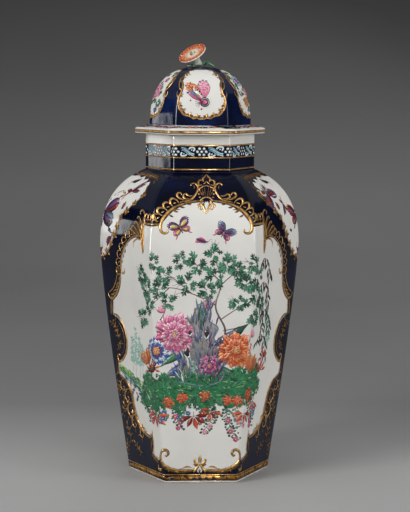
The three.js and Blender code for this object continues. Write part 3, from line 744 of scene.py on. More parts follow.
def frame_half(pen):
    """One side of the rococo frame round a main panel."""
    def gold(path, widths, rise=0.45, lift=0.08):
        pen.stroke(path, widths, GOLD, lift, rise)

    def dark(path, widths, rise=0.05):
        pen.stroke(path, widths, GOLD_DARK, rise=rise)

    gold(ARCH, [1.6, 2.1, 2.1, 2.3, 2.5, 2.6, 3.0, 3.0, 2.4, 1.4])
    # Leaves that lick the white inside the arch
    dark([(38.6, 246.4), (35.4, 251.6), (31.8, 255.4), (27.4, 257.2), (23.4, 256.9)],
         [0.8, 2.4, 2.8, 1.8, 0.4])
    for x, y, heading, length in ((33.5, 252.6, 228, 4.6), (29.5, 256.2, 215, 4.4), (24, 259.8, 205, 4.6),
                                  (17.5, 262.4, 195, 4.2)):
        pen.petal(x, y, heading, length, 1.9, GOLD_DARK, -0.3, blunt=0.2)
    # Pierced lobes outside the arch, and the step above the shoulder of the panel
    lobes(pen, [(24.6, 262.9), (31.8, 259), (38, 253.4), (43, 245.8)], 4, 7.4, GOLD)
    lobes(pen, [(45, 245), (61.4, 245)], 3, 7.2, GOLD, 0.8)
    gold([(41.6, 243.4), (62.6, 243.2)], [2.2, 2.4])
    gold([(61.6, 243), (62.6, 251.6), (66.8, 255), (70.6, 253.4), (69.8, 250.8)], [2.2, 2.2, 2.0, 1.6, 1.0])
    dark([(64, 249), (64.6, 238), (63.8, 227), (62.8, 218)], [2.2, 3.8, 3.2, 1.4], 0.3)
    for rail in ([(62.2, 243.6), (61.8, 230), (61.6, 222.4), (62.2, 216.6), (64.2, 216.6)],
                 [(66.8, 243), (66.6, 232), (65.2, 223), (63.6, 217)]):
        gold(rail, [1.4, 1.3, 1.4, 1.5, 0.8], 0.4, 0.16)
    # A feathered wing between the step and the side arch, hatched between its feathers
    for feather in FEATHERS:
        dark(moved(feather[:-1], 1.2, -1.4), [0.8, 1.6, 1.2, 0.6])
        gold(feather, [0.8, 1.4, 1.7, 1.5, 0.8], 0.4, 0.14)
    gold(SIDE, [1.4, 1.7, 1.8, 1.9, 2.0, 2.2, 2.4, 1.6], lift=0.14)
    gold([(66, 227.4), (71.4, 228.6), (77, 227), (80.4, 223.4), (79.4, 219.6)],
         [0.8, 1.6, 1.8, 1.6, 0.6], 0.05)
    hooks(pen, [(90, 223), (97, 214), (101, 205)], 4, 4.2, GOLD_DARK, side=-1, lean=30)
    lobes(pen, SIDE_LOBES, 7, 7.6, GOLD, 0.62)
    # The side band, its upright and the blue lobe cartouche
    pen.stroke(moved(BAND[:-2], 2.8, 1.6), [2.0, 7.0, 8.4, 8.0, 4.6], INK, 0.07, 0.05)
    hooks(pen, BAND[1:-2], 7, 7.4, GOLD, lean=56, wide=0.16, lift=0.14)
    hooks(pen, [(106, 185), (111.4, 174.8), (117, 168.8)], 7, 3.4, GOLD_DARK, side=-1, lean=44, wide=0.3)
    dark(moved(BAND[1:-2], -1.8, -0.8), [0.6, 1.2, 1.2, 0.6])
    gold(BAND, [1.4, 1.7, 1.9, 2.0, 2.0, 1.8, 1.2], 0.4, 0.2)
    gold([(109, 198), (112.6, 187), (118.4, 178), (127, 172.4)], [1.0, 1.5, 1.5, 1.0], 0.4, 0.2)
    for x in (119.9, 123.7):
        gold([(x, 168), (x + 0.6, 160), (x + 0.8, 151)], [1.3, 1.2, 1.2], 0.35)
    for y in range(153, 167, 2):
        pen.stroke([(121.6, y), (123.4, y + 1.3)], [0.7, 0.4], GOLD_DARK, smooth=False)
    gold(CARTOUCHE, [1.2, 1.8, 2.2, 2.8, 3.0, 3.0, 2.8, 2.4, 1.8])
    dark([(112, 146), (106, 141.6), (101.4, 135), (99.8, 126.4), (101.6, 119), (106.4, 113.6)],
         [0.7, 1.2, 1.2, 0.7])
    gold([(113, 107), (112.6, 100), (112, 93.6)], [1.6, 1.8, 1.6], 0.35)
    dark([(116.4, 107), (116, 99), (115.2, 92)], [0.9, 1.2, 0.9])
    # Acanthus scrolls down to the cusp: a dark leafy band with a bright inner edge and leafy C-scrolls
    dark(moved(LOW[2:-2], 1.8, -1.0), [1.4, 2.8, 3.2, 2.8, 3.2, 2.8, 3.0, 2.2, 1.0], 0.3)
    hooks(pen, LOW[2:-2], 9, 4.6, GOLD_DARK, lean=66, wide=0.34)
    hooks(pen, LOW[3:-2], 7, 4.6, GOLD, lean=40, wide=0.26, lift=0.12)
    hooks(pen, LOW[3:-2], 6, 4.4, GOLD, side=-1, lean=32, wide=0.36, lift=0.16)
    gold(LOW, [1.3, 1.7, 1.9, 1.9, 2.1, 1.9, 2.0, 1.9, 1.8, 1.7, 1.0], 0.4, 0.2)
    for place in CURLS:
        curl = pen.at(*place)
        curl.stroke(CURL, [0.8, 1.7, 2.4, 2.6, 2.1, 1.7, 1.3, 0.7], GOLD, 0.2, 0.4)
        for x, y, heading, length in CURL_LEAVES:
            curl.petal(x, y, heading, length, 2.2, GOLD if heading > 0 else GOLD_DARK, -0.3, 0.12, 0.2, 0.3)
    gold([(52.4, 47), (51.4, 38), (50.6, 31), (52.4, 24.2)], [1.0, 1.9, 1.9, 2.0])
    dark([(54.8, 44), (54.4, 34), (55.2, 26.6)], [1.6, 2.6, 1.4], 0.3)
    gold([(53.6, 26), (47, 22.2), (41, 20.2)], [1.6, 2.0, 1.6], 0.4)
    dark([(54.4, 23.4), (48, 19.6), (42, 17.4)], [1.2, 1.6, 1.2], 0.3)
    gold([(42.4, 15.8), (41.8, 11.6), (38.8, 10.6), (37.8, 13)], [1.2, 2.2, 2.2, 1.2], 0.35)
    # Bottom scroll
    dark(moved(BASE[3:], 0.9, -1.3), [1.2, 3.2, 3.8, 3.8, 3.0, 1.6], 0.25)
    hooks(pen, BASE[3:], 6, 4.0, GOLD, lean=38, wide=0.4, lift=0.12)
    gold(BASE, [2.2, 2.8, 2.8, 2.6, 2.4, 2.2, 2.1, 2.0, 1.5], lift=0.16)
    hooks(pen, [(35, 21), (30, 17), (24, 14.4), (17, 13.4)], 4, 5.0, GOLD, side=-1, lean=-35)
    gold([(17, 13), (12, 15.4), (7.4, 14.4)], [0.6, 1.8, 0.6], 0.05)
    # Sprigs strewn on the blue
    for x, y, angle, size in SPRIGS:
        sprig(pen.at(x, y, angle, size * 1.25), GOLD_DARK)


def crest_and_pendant(pen):
    """The shell over the middle of a panel between two scrolls, its leafy crown and the drop below it."""
    for flip in (1, -1):
        def line(points, widths, finish=GOLD, rise=0.4):
            pen.stroke([(flip * x, y) for x, y in points], widths, finish, rise=rise)

        line([(23.6, 264.2), (18, 265.2), (13.6, 267.2), (10, 271.6), (7.9, 276.6), (8, 281.4), (10.4, 284.6),
              (13.4, 284.2), (14, 281.8)], [0.8, 2.2, 2.4, 2.2, 2.0, 2.0, 2.2, 1.9, 1.2], rise=0.45)
        line([(11.2, 277.8), (10.9, 280.8), (12, 282.2)], [0.5, 1.1, 0.5], GOLD_DARK)
        line([(12.6, 271), (15, 270.3), (17.6, 271.6), (18.4, 273.4)], [0.5, 1.7, 1.8, 0.7])
        line([(15.2, 267.9), (18.4, 267.3), (21, 269.6), (20.2, 272.6), (18.9, 272)],
             [0.6, 1.9, 2.2, 1.7, 0.7])
        line([(20.2, 266.6), (23.4, 267.6), (26.6, 270.6), (25.6, 273.8), (22.9, 273.3), (22.6, 271.3)],
             [0.9, 2.2, 2.4, 2.2, 1.7, 0.9])
        line([(0, 282.3), (2.3, 280.8), (3.1, 281.2), (4.7, 279.4), (5.4, 279.7), (7, 277.4)],
             [1.8, 1.4, 2.0, 1.4, 1.8, 1.2])
        for foot, top, reach in ((0.9, 2.0, 279.6), (2.2, 4.2, 278.2), (3.3, 6.0, 275.6)):
            line([(foot, 270.6), (top, reach)], [0.45, 1.1, 0.5], GOLD_DARK, 0.2)
        line([(0, 269.3), (3, 268.4), (5.6, 265.9)], [1.7, 1.7, 1.2])
        for x, y, size in ((6.5, 276.4, 1.35), (6.7, 272.4, 1.25), (6, 269, 1.1)):
            pen.dot(flip * x, y, size, GOLD, rise=0.4)
        line([(0.1 * flip, 298), (1.5, 294.2), (3.4, 290.4), (2.5, 287.2)], [0.5, 1.9, 2.2, 0.9])
        line([(2.8, 287.4), (5.2, 289.2), (7.3, 286.8), (6.6, 282), (4.2, 283.2)], [1.0, 2.0, 2.0, 1.7, 1.0])
        line([(0, 287.8), (1.4, 285.2), (2.9, 283.6)], [1.3, 1.2, 0.6])
        line([(2.9, 266.4), (4.9, 262.6), (2.7, 259.8), (0.2, 253.2)], [1.3, 2.4, 2.0, 0.6])
        line([(4.8, 262.8), (7.6, 261.4), (7.3, 258.8)], [1.5, 1.7, 0.6])
        line([(0.7, 265.4), (2.7, 262.4), (1.7, 259), (0.3, 255)], [0.7, 1.3, 1.2, 0.6], GOLD_DARK, 0.3)
        line([(0.5, 264.8), (1.2, 262), (0.5, 258.4)], [0.5, 0.8, 0.4], MILK, 0.1)
        line([(4.6, 262.4), (6.2, 258.8), (4.2, 256.8), (3.6, 258.6)], [1.0, 1.5, 1.2, 0.5])
        # Half of the little leafy crown at the bottom of the panel
        line([(0.6, 17.4), (2.4, 14.4), (5.6, 10.2)], [1.8, 2.8, 2.2])
        line([(0.5, 17), (3.4, 18.6), (5.4, 21.8), (3.6, 23)], [1.4, 2.6, 2.2, 1.0])
        line([(0.8, 16.6), (3.6, 16.4), (5.8, 18)], [0.8, 1.8, 1.0], GOLD_DARK)
        line([(1.2, 13.4), (1.6, 11.4), (0.9, 9.6)], [0.6, 1.6, 0.8], WHITE, 0.1)
    pen.petal(0, 17, 90, 9.6, 3.2, GOLD, 0, 0.2, 0.4, 0.2)
    # A milk-white dot on the crown: a painted highlight
    pen.dot(0, 18.6, 0.9, MILK, lift=0.5)


def main_panel(fields, gilding, place):
    Pen(fields, place, lean=PANEL_LEAN).field(both(PANEL_HALF), WHITE, grid=3.2, smooth=False)
    for mirror in (False, True):
        frame_half(Pen(gilding, place, mirror=mirror, lean=PANEL_LEAN))
    crest_and_pendant(Pen(gilding, place, lean=PANEL_LEAN))


def sprig(pen, finish):
    """A small gilt sprig: a stem, five leaves and two berries."""
    pen.stroke([(-5, 0), (0, 0.8), (5, 0)], [0.7, 1.0, 0.6], finish)
    for x, heading in ((-2.5, 60), (-1, -60), (1.5, 55), (2.5, -55)):
        pen.petal(x, 0.5, heading, 3.8, 1.9, finish)
    pen.petal(5, 0, 0, 3.6, 2.0, finish)
    for x, y in ((-5.6, 1.6), (-5.8, -1.4)):
        pen.dot(x, y, 1.0, finish)


# ---- Smaller reserves: the shoulder, the cover and the brim ----
SHOULDER_HALF = [(0, 291.6), (7, 290), (12, 292.4), (20, 288.6), (25, 291), (31, 286), (36, 288.4),
                 (40, 282.6), (45, 284.6), (49, 279.6), (55.5, 271), (52.5, 264), (47, 258.4), (42, 253),
                 (35.5, 248.3), (32, 240.5), (30, 231.6), (24, 223), (15, 211.6), (6, 206), (0, 203)]
SHOULDER_PATCH = [(49, 280), (55.5, 282), (56.5, 271), (53, 262), (46.5, 258.4), (49, 264), (44.6, 263.4),
                  (48, 269), (42.6, 271), (46.6, 274.6)]
# Gilt tufts on the edge of a reserve: off, up, heading, size
SHOULDER_TUFTS = ((55.4, 270, 205, 1.1), (49.4, 261, 190, 1.0), (41.6, 252.8, 200, 1.3),
                  (34.4, 246, 170, 1.0), (31.4, 237, 190, 1.1), (28, 229, 180, 1.3), (22, 220.6, 195, 1.0),
                  (14.4, 211.4, 170, 1.2), (6, 206.2, 130, 1.0))
COVER_HALF = [(0, 60), (6, 59.4), (10.5, 57), (13, 52.8), (15.6, 50.6), (17.6, 47), (18, 42.6), (17, 38.4),
              (17.4, 33.4), (19, 29), (20.8, 25), (21.2, 20), (20.2, 15), (16.8, 11), (11, 8), (5, 6.6),
              (0, 6.2)]
COVER_TUFTS = ((13.6, 51.6, 205, 0.9), (17.4, 46.6, 190, 0.8), (19.8, 27.6, 160, 0.7), (20.8, 17.6, 120, 0.8),
               (18.6, 12.6, 150, 1.0), (11.4, 8.2, 110, 0.9), (4.2, 6.6, 80, 0.9), (8.6, 58.4, 230, 0.6))


def shoulder_gilding(pen, ragged):
    """One side of a shoulder reserve's ragged edge: a line, gilt tufts, a feathered patch by the neck."""
    edge = SHOULDER_HALF[9:]
    pen.stroke(edge, [2.2, 3.0, 1.2, 1.8, 1.0, 2.2, 1.0, 2.0, 1.2, 1.8], GOLD_DARK, rise=0.3)
    pen.stroke(moved(edge[1:-1], 0.9, 0.4), [0.6, 1.0, 0.5, 1.1, 0.6], GOLD, lift=0.16)
    neck_line = [(53, 283), (48, 291), (30, 294.6), (2, 295.6)]
    pen.stroke(neck_line, [1.6, 2.2, 0.8, 1.8, 0.6], GOLD_DARK, rise=0.2)
    hooks(pen, neck_line, 13, 5.6, GOLD_DARK, lean=70, wide=0.26, lift=0.14)
    hooks(pen, neck_line, 8, 4.4, GOLD, lean=46, wide=0.2, lift=0.2)
    if ragged:
        pen.field(SHOULDER_PATCH, INK, 0.09, smooth=False)
        outer = [(55.6, 281), (56, 272), (51, 262)]
        hooks(pen, outer, 9, 8.6, GOLD_DARK, side=-1, lean=60, wide=0.14, lift=0.14)
    for x, y, heading, size in SHOULDER_TUFTS:
        tuft(pen, x, y, heading, size)
        tuft(pen, x + 1, y - 1, heading + 150, size * 0.6)


def shoulder_reserve(fields, gilding, place):
    Pen(fields, place).field(both(SHOULDER_HALF), WHITE, grid=3.2, smooth=False)
    for mirror in (False, True):
        shoulder_gilding(Pen(gilding, place, mirror=mirror), mirror)


def cover_gilding(pen):
    """One side of the scalloped gilt edge of a cover reserve, with an open scroll at its middle."""
    pen.stroke(COVER_HALF, [1.6, 1.2, 1.6, 1.8, 1.2, 1.6, 2.0, 1.4, 1.8, 1.8], GOLD_DARK, rise=0.3)
    pen.stroke(moved(COVER_HALF[2:-1], 0.7, 0), [0.5, 1.0, 0.7, 1.1, 0.6, 1.2, 0.9], GOLD, 0.14, 0.3)
    scroll = [(17.6, 47.4), (20.6, 45.2), (22, 40.4), (21, 35.2), (18.2, 31.6)]
    pen.stroke(scroll, [1.0, 1.9, 2.0, 1.7, 0.8], GOLD, rise=0.4)
    pen.stroke([(18.8, 44), (19.6, 40), (18.9, 35.6)], [0.8, 1.8, 0.8], INK, 0.1, 0.02)
    pen.dot(19.8, 41.6, 0.6, MILK, 0.2)
    pen.stroke([(20.4, 25), (22.6, 26), (24, 29), (22.8, 31)], [1.0, 1.8, 1.6, 0.8], GOLD, rise=0.35)
    for place in COVER_TUFTS:
        tuft(pen, *place)
    for path in ([(19.6, 13), (16.6, 9.4), (12.6, 8.2)], [(11, 8), (7.8, 6), (4.6, 6.6)],
                 [(4.2, 6.6), (1.4, 5.4), (0, 6)]):
        pen.stroke(path, [0.8, 1.7, 0.8], GOLD, 0.16, 0.35)


def cover_reserve(fields, gilding, place):
    Pen(fields, place).field(both(COVER_HALF), WHITE, grid=2.6)
    for mirror in (False, True):
        cover_gilding(Pen(gilding, place, mirror=mirror))


def ring(painting, up, width, finish, lift=0.06, rise=0.2):
    """A line or band drawn round the hexagon."""
    points = []
    for corner in range(2 * SIDES + 1):
        base = corner / 2 * painting.skin.radius(up)
        for share in (-1, -0.6, -0.3, 0, 0.3, 0.6, 1) if corner % 2 else (0,):
            points.append((base + ARRIS_REACH * share, up))
    pen = Pen(painting)
    pen.even = True
    pen.stroke(points, [width], finish, lift, rise, smooth=False)


# ---- Painted creatures and plants of the builder's own drawing ----
def butterfly(pen, upper, lower, mark, fringe=MILK):
    """An open butterfly: barred upper wings, eyed lower wings with short tails, a ringed body."""
    for sign in (1, -1):
        half = pen.at(0, 0, mirror=sign < 0)
        half.petal(0.4, 0.8, 44, 12, 7.4, upper, bend=-0.2, blunt=1.0)
        half.petal(0.5, 0.6, 22, 9.4, 4.4, upper, bend=-0.1, blunt=0.9, lift=0.10)
        half.petal(1.2, 1.2, 40, 8.2, 3.8, mark, bend=-0.2, blunt=0.9, lift=0.14)
        half.petal(0.5, -0.4, -34, 8.4, 6.0, lower, bend=0.25, blunt=1.0, lift=0.12)
        half.petal(1.4, -1.2, -38, 5.4, 3.2, mark, bend=0.2, blunt=0.9, lift=0.17)
        half.petal(5.4, -5.4, -58, 4.2, 1.3, lower, bend=0.3, blunt=0.4, lift=0.1)
        for spot in ((9.9, 7.4, 0.62), (8.7, 8.7, 0.6), (10.5, 5.6, 0.55), (9.9, 3.7, 0.5), (6.9, 9.0, 0.5)):
            half.dot(*spot, fringe, lift=0.16)
        half.dot(6.2, -3.6, 1.1, YELLOW, lift=0.18)
        half.dot(6.2, -3.6, 0.55, INK, lift=0.26)
        for reach, heading in ((9.6, 52), (9.8, 36), (7, -20), (6.6, -46)):
            half.stroke([(0.8, 0.3), ray(heading, reach)], [0.4, 0.22], INK, 0.2, 0.03, smooth=False)
        half.stroke([(0.2, 3), (1.2, 4.8), (2.6, 5.6)], [0.3, 0.25, 0.4], INK, rise=0.03)
    pen.petal(0, -5.4, 90, 9.2, 2.0, PURPLE, lift=0.24, blunt=0.8)
    for y in (-3.4, -1.8, -0.2):
        pen.stroke([(-0.8, y), (0.8, y)], [0.4, 0.4], YELLOW, 0.32, 0.02, smooth=False)


def folded_butterfly(pen, upper, lower, mark):
    """A butterfly with its wings shut behind it: a spotted upper wing, a scalloped lower one and legs."""
    for i, (angle, length) in enumerate(((150, 16), (141, 18.5), (132, 18.5), (123, 15))):
        pen.petal(0, 5, angle, length, 4.0, upper, 0.12, 0.08 + 0.03 * i, blunt=1.0)
    for i in range(10):
        pen.dot(*ray(150 - (i % 3) * 9, 7 + 1.1 * i, 0, 5.6), 0.72, RED_DARK, 0.24, 0.02, 6)
    for angle, length in ((116, 15), (106, 18), (96, 19), (86, 18), (76, 14)):
        pen.petal(3, 2, angle, length, 5.0, lower, 0, 0.1, blunt=1.0)
        rib = [ray(angle, 8, 3, 2), ray(angle, length * 0.9, 3, 2)]
        pen.stroke(rib, [0.5, 1.1, 0.5], ROSE, 0.17, 0.02, smooth=False)
        pen.dot(*ray(angle, length * 0.97, 3, 2), 0.8, PURPLE, 0.18, 0.02, 6)
    pen.petal(1, 0.4, 128, 14, 4.6, MILK, 0, 0.2, blunt=1.0)
    pen.petal(0, -0.6, 141, 15.6, 4.8, mark, 0, 0.22, blunt=0.2)
    pen.petal(-0.8, -1.4, 148, 15, 2.8, ROSE, 0, 0.27, blunt=0.2)
    pen.petal(0.2, 0.6, 134, 8.6, 1.8, ORANGE, 0, 0.28, blunt=0.2)
    for x, y in ((-4.4, 9.6), (-2.2, 8.0), (-0.4, 5.6)):
        pen.dot(x, y, 0.85, INK, 0.28, 0.02)
    for radius, finish, lift in ((4.6, INK, 0.28), (3.9, MILK, 0.31), (3.2, INK, 0.34)):
        pen.dot(2.6, -2.0, radius, finish, lift, 0.02, 16)
    pen.petal(-2.6, -2.4, 4, 7.4, 5.4, ROSE, 0, 0.38, blunt=1.0)
    pen.petal(-1.6, -2.2, 4, 3.4, 2.4, PURPLE, 0, 0.42, blunt=1.0)
    for angle in (168, 196, 222, 250):
        pen.stroke([(-1.6, -2.4), ray(angle, 5, -1.6, -2.4)], [0.5, 0.35], INK, 0.1, 0.03)
    for i in range(7):
        pen.dot(*ray(26 * i - 100, 6, 2.6, -2), 0.42, YELLOW, 0.1, 0.02, 6)
    pen.dot(-0.4, -8.6, 0.95, RED_DARK, 0.1, 0.03)
    pen.dot(-10.6, -0.4, 0.7, INK, 0.1, 0.03)


def moth(pen, wing, mark):
    """A slender insect seen from the side, wings folded back."""
    wings = ((164, 12.6, 3.6, wing), (150, 11.6, 3.6, mark), (136, 9, 3.0, wing))
    for i, (angle, length, width, finish) in enumerate(wings):
        pen.petal(0, 0.3, angle, length, width, finish, 0.12, 0.08 + 0.05 * i, blunt=0.9)
        for share in (0.45, 0.62, 0.79):
            pen.dot(*ray(angle + 5, length * share, 0, 0.3), 0.5, INK, 0.24, 0.02, 6)
    pen.petal(3, -0.4, 178, 10, 1.9, PURPLE, lift=0.26)
    pen.stroke([(3, 0), (5.4, 1.8), (7, 1.4)], [0.4, 0.3, 0.35], INK, rise=0.03)
    for x in (-3, -1, 1):
        pen.stroke([(x, -0.6), (x + 0.8, -3)], [0.35, 0.25], INK, rise=0.03)


def beetle(pen, finish):
    pen.petal(-2.6, 0, 0, 5.2, 3.2, finish, blunt=1.0, lift=0.14)
    pen.petal(1.6, 0, 0, 1.8, 1.8, INK, blunt=1.0, lift=0.16)
    pen.stroke([(-2.4, 0), (1.8, 0)], [0.3, 0.3], INK, 0.22, 0.02, smooth=False)
    for x in (-1.4, 0, 1.4):
        pen.stroke([(x, -2.4), (x, 2.4)], [0.3, 0.3], INK, rise=0.02, smooth=False)


HEART_DOTS, HEART_TURN = 9, 2.4     # dots in a flower's heart, and the angle in radians from one to the next
RING_TURN = 27                      # degrees by which each ring of petals is turned


def bloom_of(pen, rings, size, heart, vein, veins=3):
    """A flower of rings of (petal count, reach, width, finish), each petal finely veined, and a heart."""
    for level, (count, reach, width, finish) in enumerate(rings):
        for i in range(count):
            angle = 360 * i / count + level * RING_TURN
            lift = 0.08 + 0.05 * level + 0.015 * (i % 3)
            for aside in (-1, 1, 0):
                length = reach * size * (1.04 - 0.1 * abs(aside) + 0.05 * (i % 2))
                pen.petal(0, 0, angle + aside * 105 / count, length, width * size * 0.56, finish,
                          0.05 * (-1) ** i, lift + 0.01 * (aside == 0), blunt=1.0)
            for k in range(veins):
                turn = angle + (k - (veins - 1) / 2) * 300 / count / veins * 0.5
                tip = 0.93 if k == veins // 2 else 0.86
                path = [ray(turn, reach * size * share) for share in (0.42, tip)]
                pen.stroke(path, [0.5 * size, 0.22], vein, lift + 0.035, 0.01, smooth=False)
    for i in range(HEART_DOTS):
        turn = math.degrees(i * HEART_TURN)
        pen.dot(*ray(turn, 0.95 * size * math.sqrt(i)), 0.72 * size, heart, 0.12 + 0.05 * len(rings), 0.04, 6)


def peony(pen, pale, rich, size=1.0):
    rings = ((9, 20, 12, pale), (8, 16.5, 10.5, rich), (7, 12.5, 8.6, pale), (6, 8.6, 6.4, rich),
             (5, 5, 4, pale))
    bloom_of(pen, rings, size, YELLOW, PURPLE if rich is ROSE else RED_DARK)


def aster(pen, size=1.0):
    """A flower of narrow petals in rings of different enamels."""
    rings = ((18, 13, 3.4, BLUE), (16, 10.4, 2.9, MILK), (14, 8.2, 2.6, BLUE), (12, 6, 2.4, PURPLE),
             (8, 4, 2, ORANGE))
    bloom_of(pen, rings, size, YELLOW, INK, veins=1)


def tulip(pen, size=1.0):
    """A striped tulip: pointed straw-yellow petals feathered with iron red."""
    petals = ((-3.4, 112, 17, 6.6), (3.4, 68, 17, 6.6), (-2, 100, 19, 7), (2, 80, 18.4, 7), (0, 90, 16, 7.4))
    for i, (x, angle, length, width) in enumerate(petals):
        c, s = ray(angle, 1)
        pen.petal(x * size, 0, angle, length * size, width * size, YELLOW, 0.08 * (-1) ** i, 0.08 + 0.05 * i,
                  blunt=-0.3)
        finish = RED if i % 2 else ORANGE
        for aside in (-0.3, -0.1, 0.1, 0.3):
            path = []
            for t in (0.08, 0.35, 0.62, 0.9):
                swell = width * aside * s * math.sin(math.pi * t)
                path.append(((x + swell + length * t * c) * size, length * t * s * size))
            pen.stroke(path, [0.3, 1.5 * size, 1.1 * size, 0.3], finish, 0.12 + 0.05 * i, 0.01)


def floweret(pen, finish, heart, size=1.0):
    for i in range(5):
        pen.petal(0, 0, 72 * i + 90, 2.6 * size, 2.2 * size, finish, blunt=1.0)
    pen.dot(0, 0, 0.7 * size, heart, lift=0.16, rise=0.03)


def lobed_leaf(pen, x, y, angle, length, finish, lift=0.08):
    """An oak-like leaf: a pointed middle lobe and two slender pairs at its sides."""
    pen.petal(x, y, angle, length, length * 0.3, finish, 0.0, lift, blunt=0.1)
    for share, aside, size in ((0.16, 52, 0.52), (0.46, 40, 0.44)):
        for side in (-1, 1):
            pen.petal(*ray(angle, length * share, x, y), angle + side * aside, length * size, length * 0.2,
                      finish, 0.0, lift, blunt=0.3)


def leaf_cluster(pen, dice, finishes, size=1.0, count=8, spread=360):
    """Lobed leaves in an uneven bunch, two in every five in the darker enamel."""
    for i in range(count):
        angle = 90 + spread * (i / count - 0.5) + dice.uniform(-24, 24)
        x, y = ray(angle, dice.uniform(0.4, 3.6) * size)
        lobed_leaf(pen, 1.3 * x, 0.8 * y, angle + dice.uniform(-16, 16), dice.uniform(4.6, 8.6) * size,
                   finishes[-1] if i % 5 in (0, 2) else finishes[0], 0.09 + 0.02 * (i % 4))


def bare_twig(pen, dice, x, y, heading, length):
    """A thin forked twig."""
    middle_x, middle_y = ray(heading, length * 0.5, x, y)
    middle = (middle_x + dice.uniform(-1, 1), middle_y + 0.8)
    pen.stroke([(x, y), middle, ray(heading, length, x, y)], [0.6, 0.5, 0.25], TWIG, rise=0.03)
    for side in (-1, 1):
        fork = ray(heading + side * dice.uniform(28, 50), length * 0.4, *middle)
        pen.stroke([middle, fork], [0.4, 0.22], TWIG, rise=0.03, smooth=False)


def flower_twig(pen, dice, length, leaf, petals):
    """A drooping twig with small round leaves and flowerets, strewn unevenly."""
    sway = dice.uniform(-0.5, 0.5)
    path = [(0, 0), (sway * length * 0.3, -length * 0.5), (sway * length, -length)]
    pen.stroke(path, [0.5, 0.45, 0.3], leaf, rise=0.03)
    line = flow(path, 1.5)
    for i in range(1, len(line)):
        side = -1 if i % 2 else 1
        x, y = line[i]
        reach = dice.uniform(1.6, 4.6)
        pen.petal(x, y, -90 + side * dice.uniform(35, 80), reach, 1.1, leaf, 0, 0.06, 0.01)
        pen.dot(x + side * reach, y + dice.uniform(-1.6, 0), dice.uniform(0.9, 1.5), leaf, 0.08, 0.03, 6)
    for share in (0.4, 0.72, 1.0):
        x, y = line[min(int(share * len(line)), len(line) - 1)]
        flower = pen.at(x + dice.uniform(-3.4, 3.4), y, dice.uniform(0, 70))
        floweret(flower, petals, YELLOW, dice.uniform(0.9, 1.25))


def long_insect(pen, wing, mark):
    """A darting insect with four long barred wings and a jointed body."""
    for angle, length in ((28, 15), (12, 13), (-24, 11), (152, 7)):
        c, s = ray(angle, 1)
        pen.petal(0, 0, angle, length, 3.4, wing, 0.1, 0.08, blunt=0.8)
        pen.petal(c * 2, s * 2, angle, length * 0.76, 1.6, mark, 0.1, 0.13, blunt=0.8)
        for i in range(4):
            reach = length * (0.45 + 0.14 * i)
            bar = [(c * reach - s * aside, s * reach + c * aside) for aside in (1.4, -1.2)]
            pen.stroke(bar, [0.5, 0.4], INK, 0.18, 0.02, smooth=False)
    pen.stroke([(4, 1), (0, 0), (-5, -1.6), (-9, -4.6)], [1.6, 2.2, 1.4, 0.6], RED_DARK, 0.2, 0.05)
    for heading in (60, 100, -70, -110):
        pen.stroke([(1, 0), ray(heading, 4, 1)], [0.4, 0.3], INK, 0.1, 0.02)


def reserve_insects(pen, other):
    """The small creatures on one side of a shoulder reserve."""
    if other:
        butterfly(pen.at(39, 271, 150, 1.3), PURPLE, MILK, RED_DARK, RED_DARK)
        long_insect(pen.at(20, 258, -100, 0.8), PURPLE, RED_DARK)
    else:
        long_insect(pen.at(31, 272, 22, 1.15), RED_DARK, PURPLE)
        moth(pen.at(22, 226, 60, 0.95), RED_DARK, PURPLE)
    moth(pen.at(17, 282, -140, 0.8), INK, PURPLE)
    beetle(pen.at(32, 256, 75, 1.35), RED_DARK)
    beetle(pen.at(17, 232, 20, 0.8), PURPLE)
    moth(pen.at(4, 214, 60, 0.8), RED_DARK, ROSE)


POSY_LEAVES = ((0, 22, 200), (3, 24, -30), (-3, 32, 120), (4, 36, 60), (0, 14, 250), (10, 22, -60),
               (-9, 26, 160), (1, 47, 90), (-10, 37, 150), (-8, 50, 110), (-12, 31, 200), (-11, 44, 170),
               (8, 30, 20), (8, 50, 60), (12, 20, -20))


def cover_posy(pen, dice):
    """Flowers on a cover reserve: a rose-pink bloom, a blue one and leaves."""
    for x, y, heading in POSY_LEAVES:
        leaf_cluster(pen.at(x, y, heading - 90), dice, (GREEN, GREEN_DARK), 0.62, 5, 170)
    peony(pen.at(3, 31, 0), PINK, ROSE, 0.4)
    aster(pen.at(-6, 42, 0), 0.42)
    bloom_of(pen.at(-6, 21), ((7, 5, 3.6, ORANGE), (6, 3.4, 2.6, RED)), 1.0, YELLOW, RED_DARK, veins=1)
    floweret(pen.at(9, 43), ROSE, YELLOW, 1.2)
    floweret(pen.at(9, 13), BLUE, YELLOW, 1.2)


# ---- What repeats: instances on marked spots ----
def motif(name, draw):
    """One motif of a repeat, drawn on flat ground."""
    painting = Painting()
    draw(Pen(painting))
    return link(name, painting.mesh(name, np.array(painting.spots, float)[:, 1:]))


# What a repeat is given: the kind of each socket of its node tree
GIVEN = {"Spots": "Geometry", "Motif": "Object", "Finish": "Material", "Least Size": "Float",
         "Greatest Size": "Float", "Sway": "Float", "Seed": "Int"}


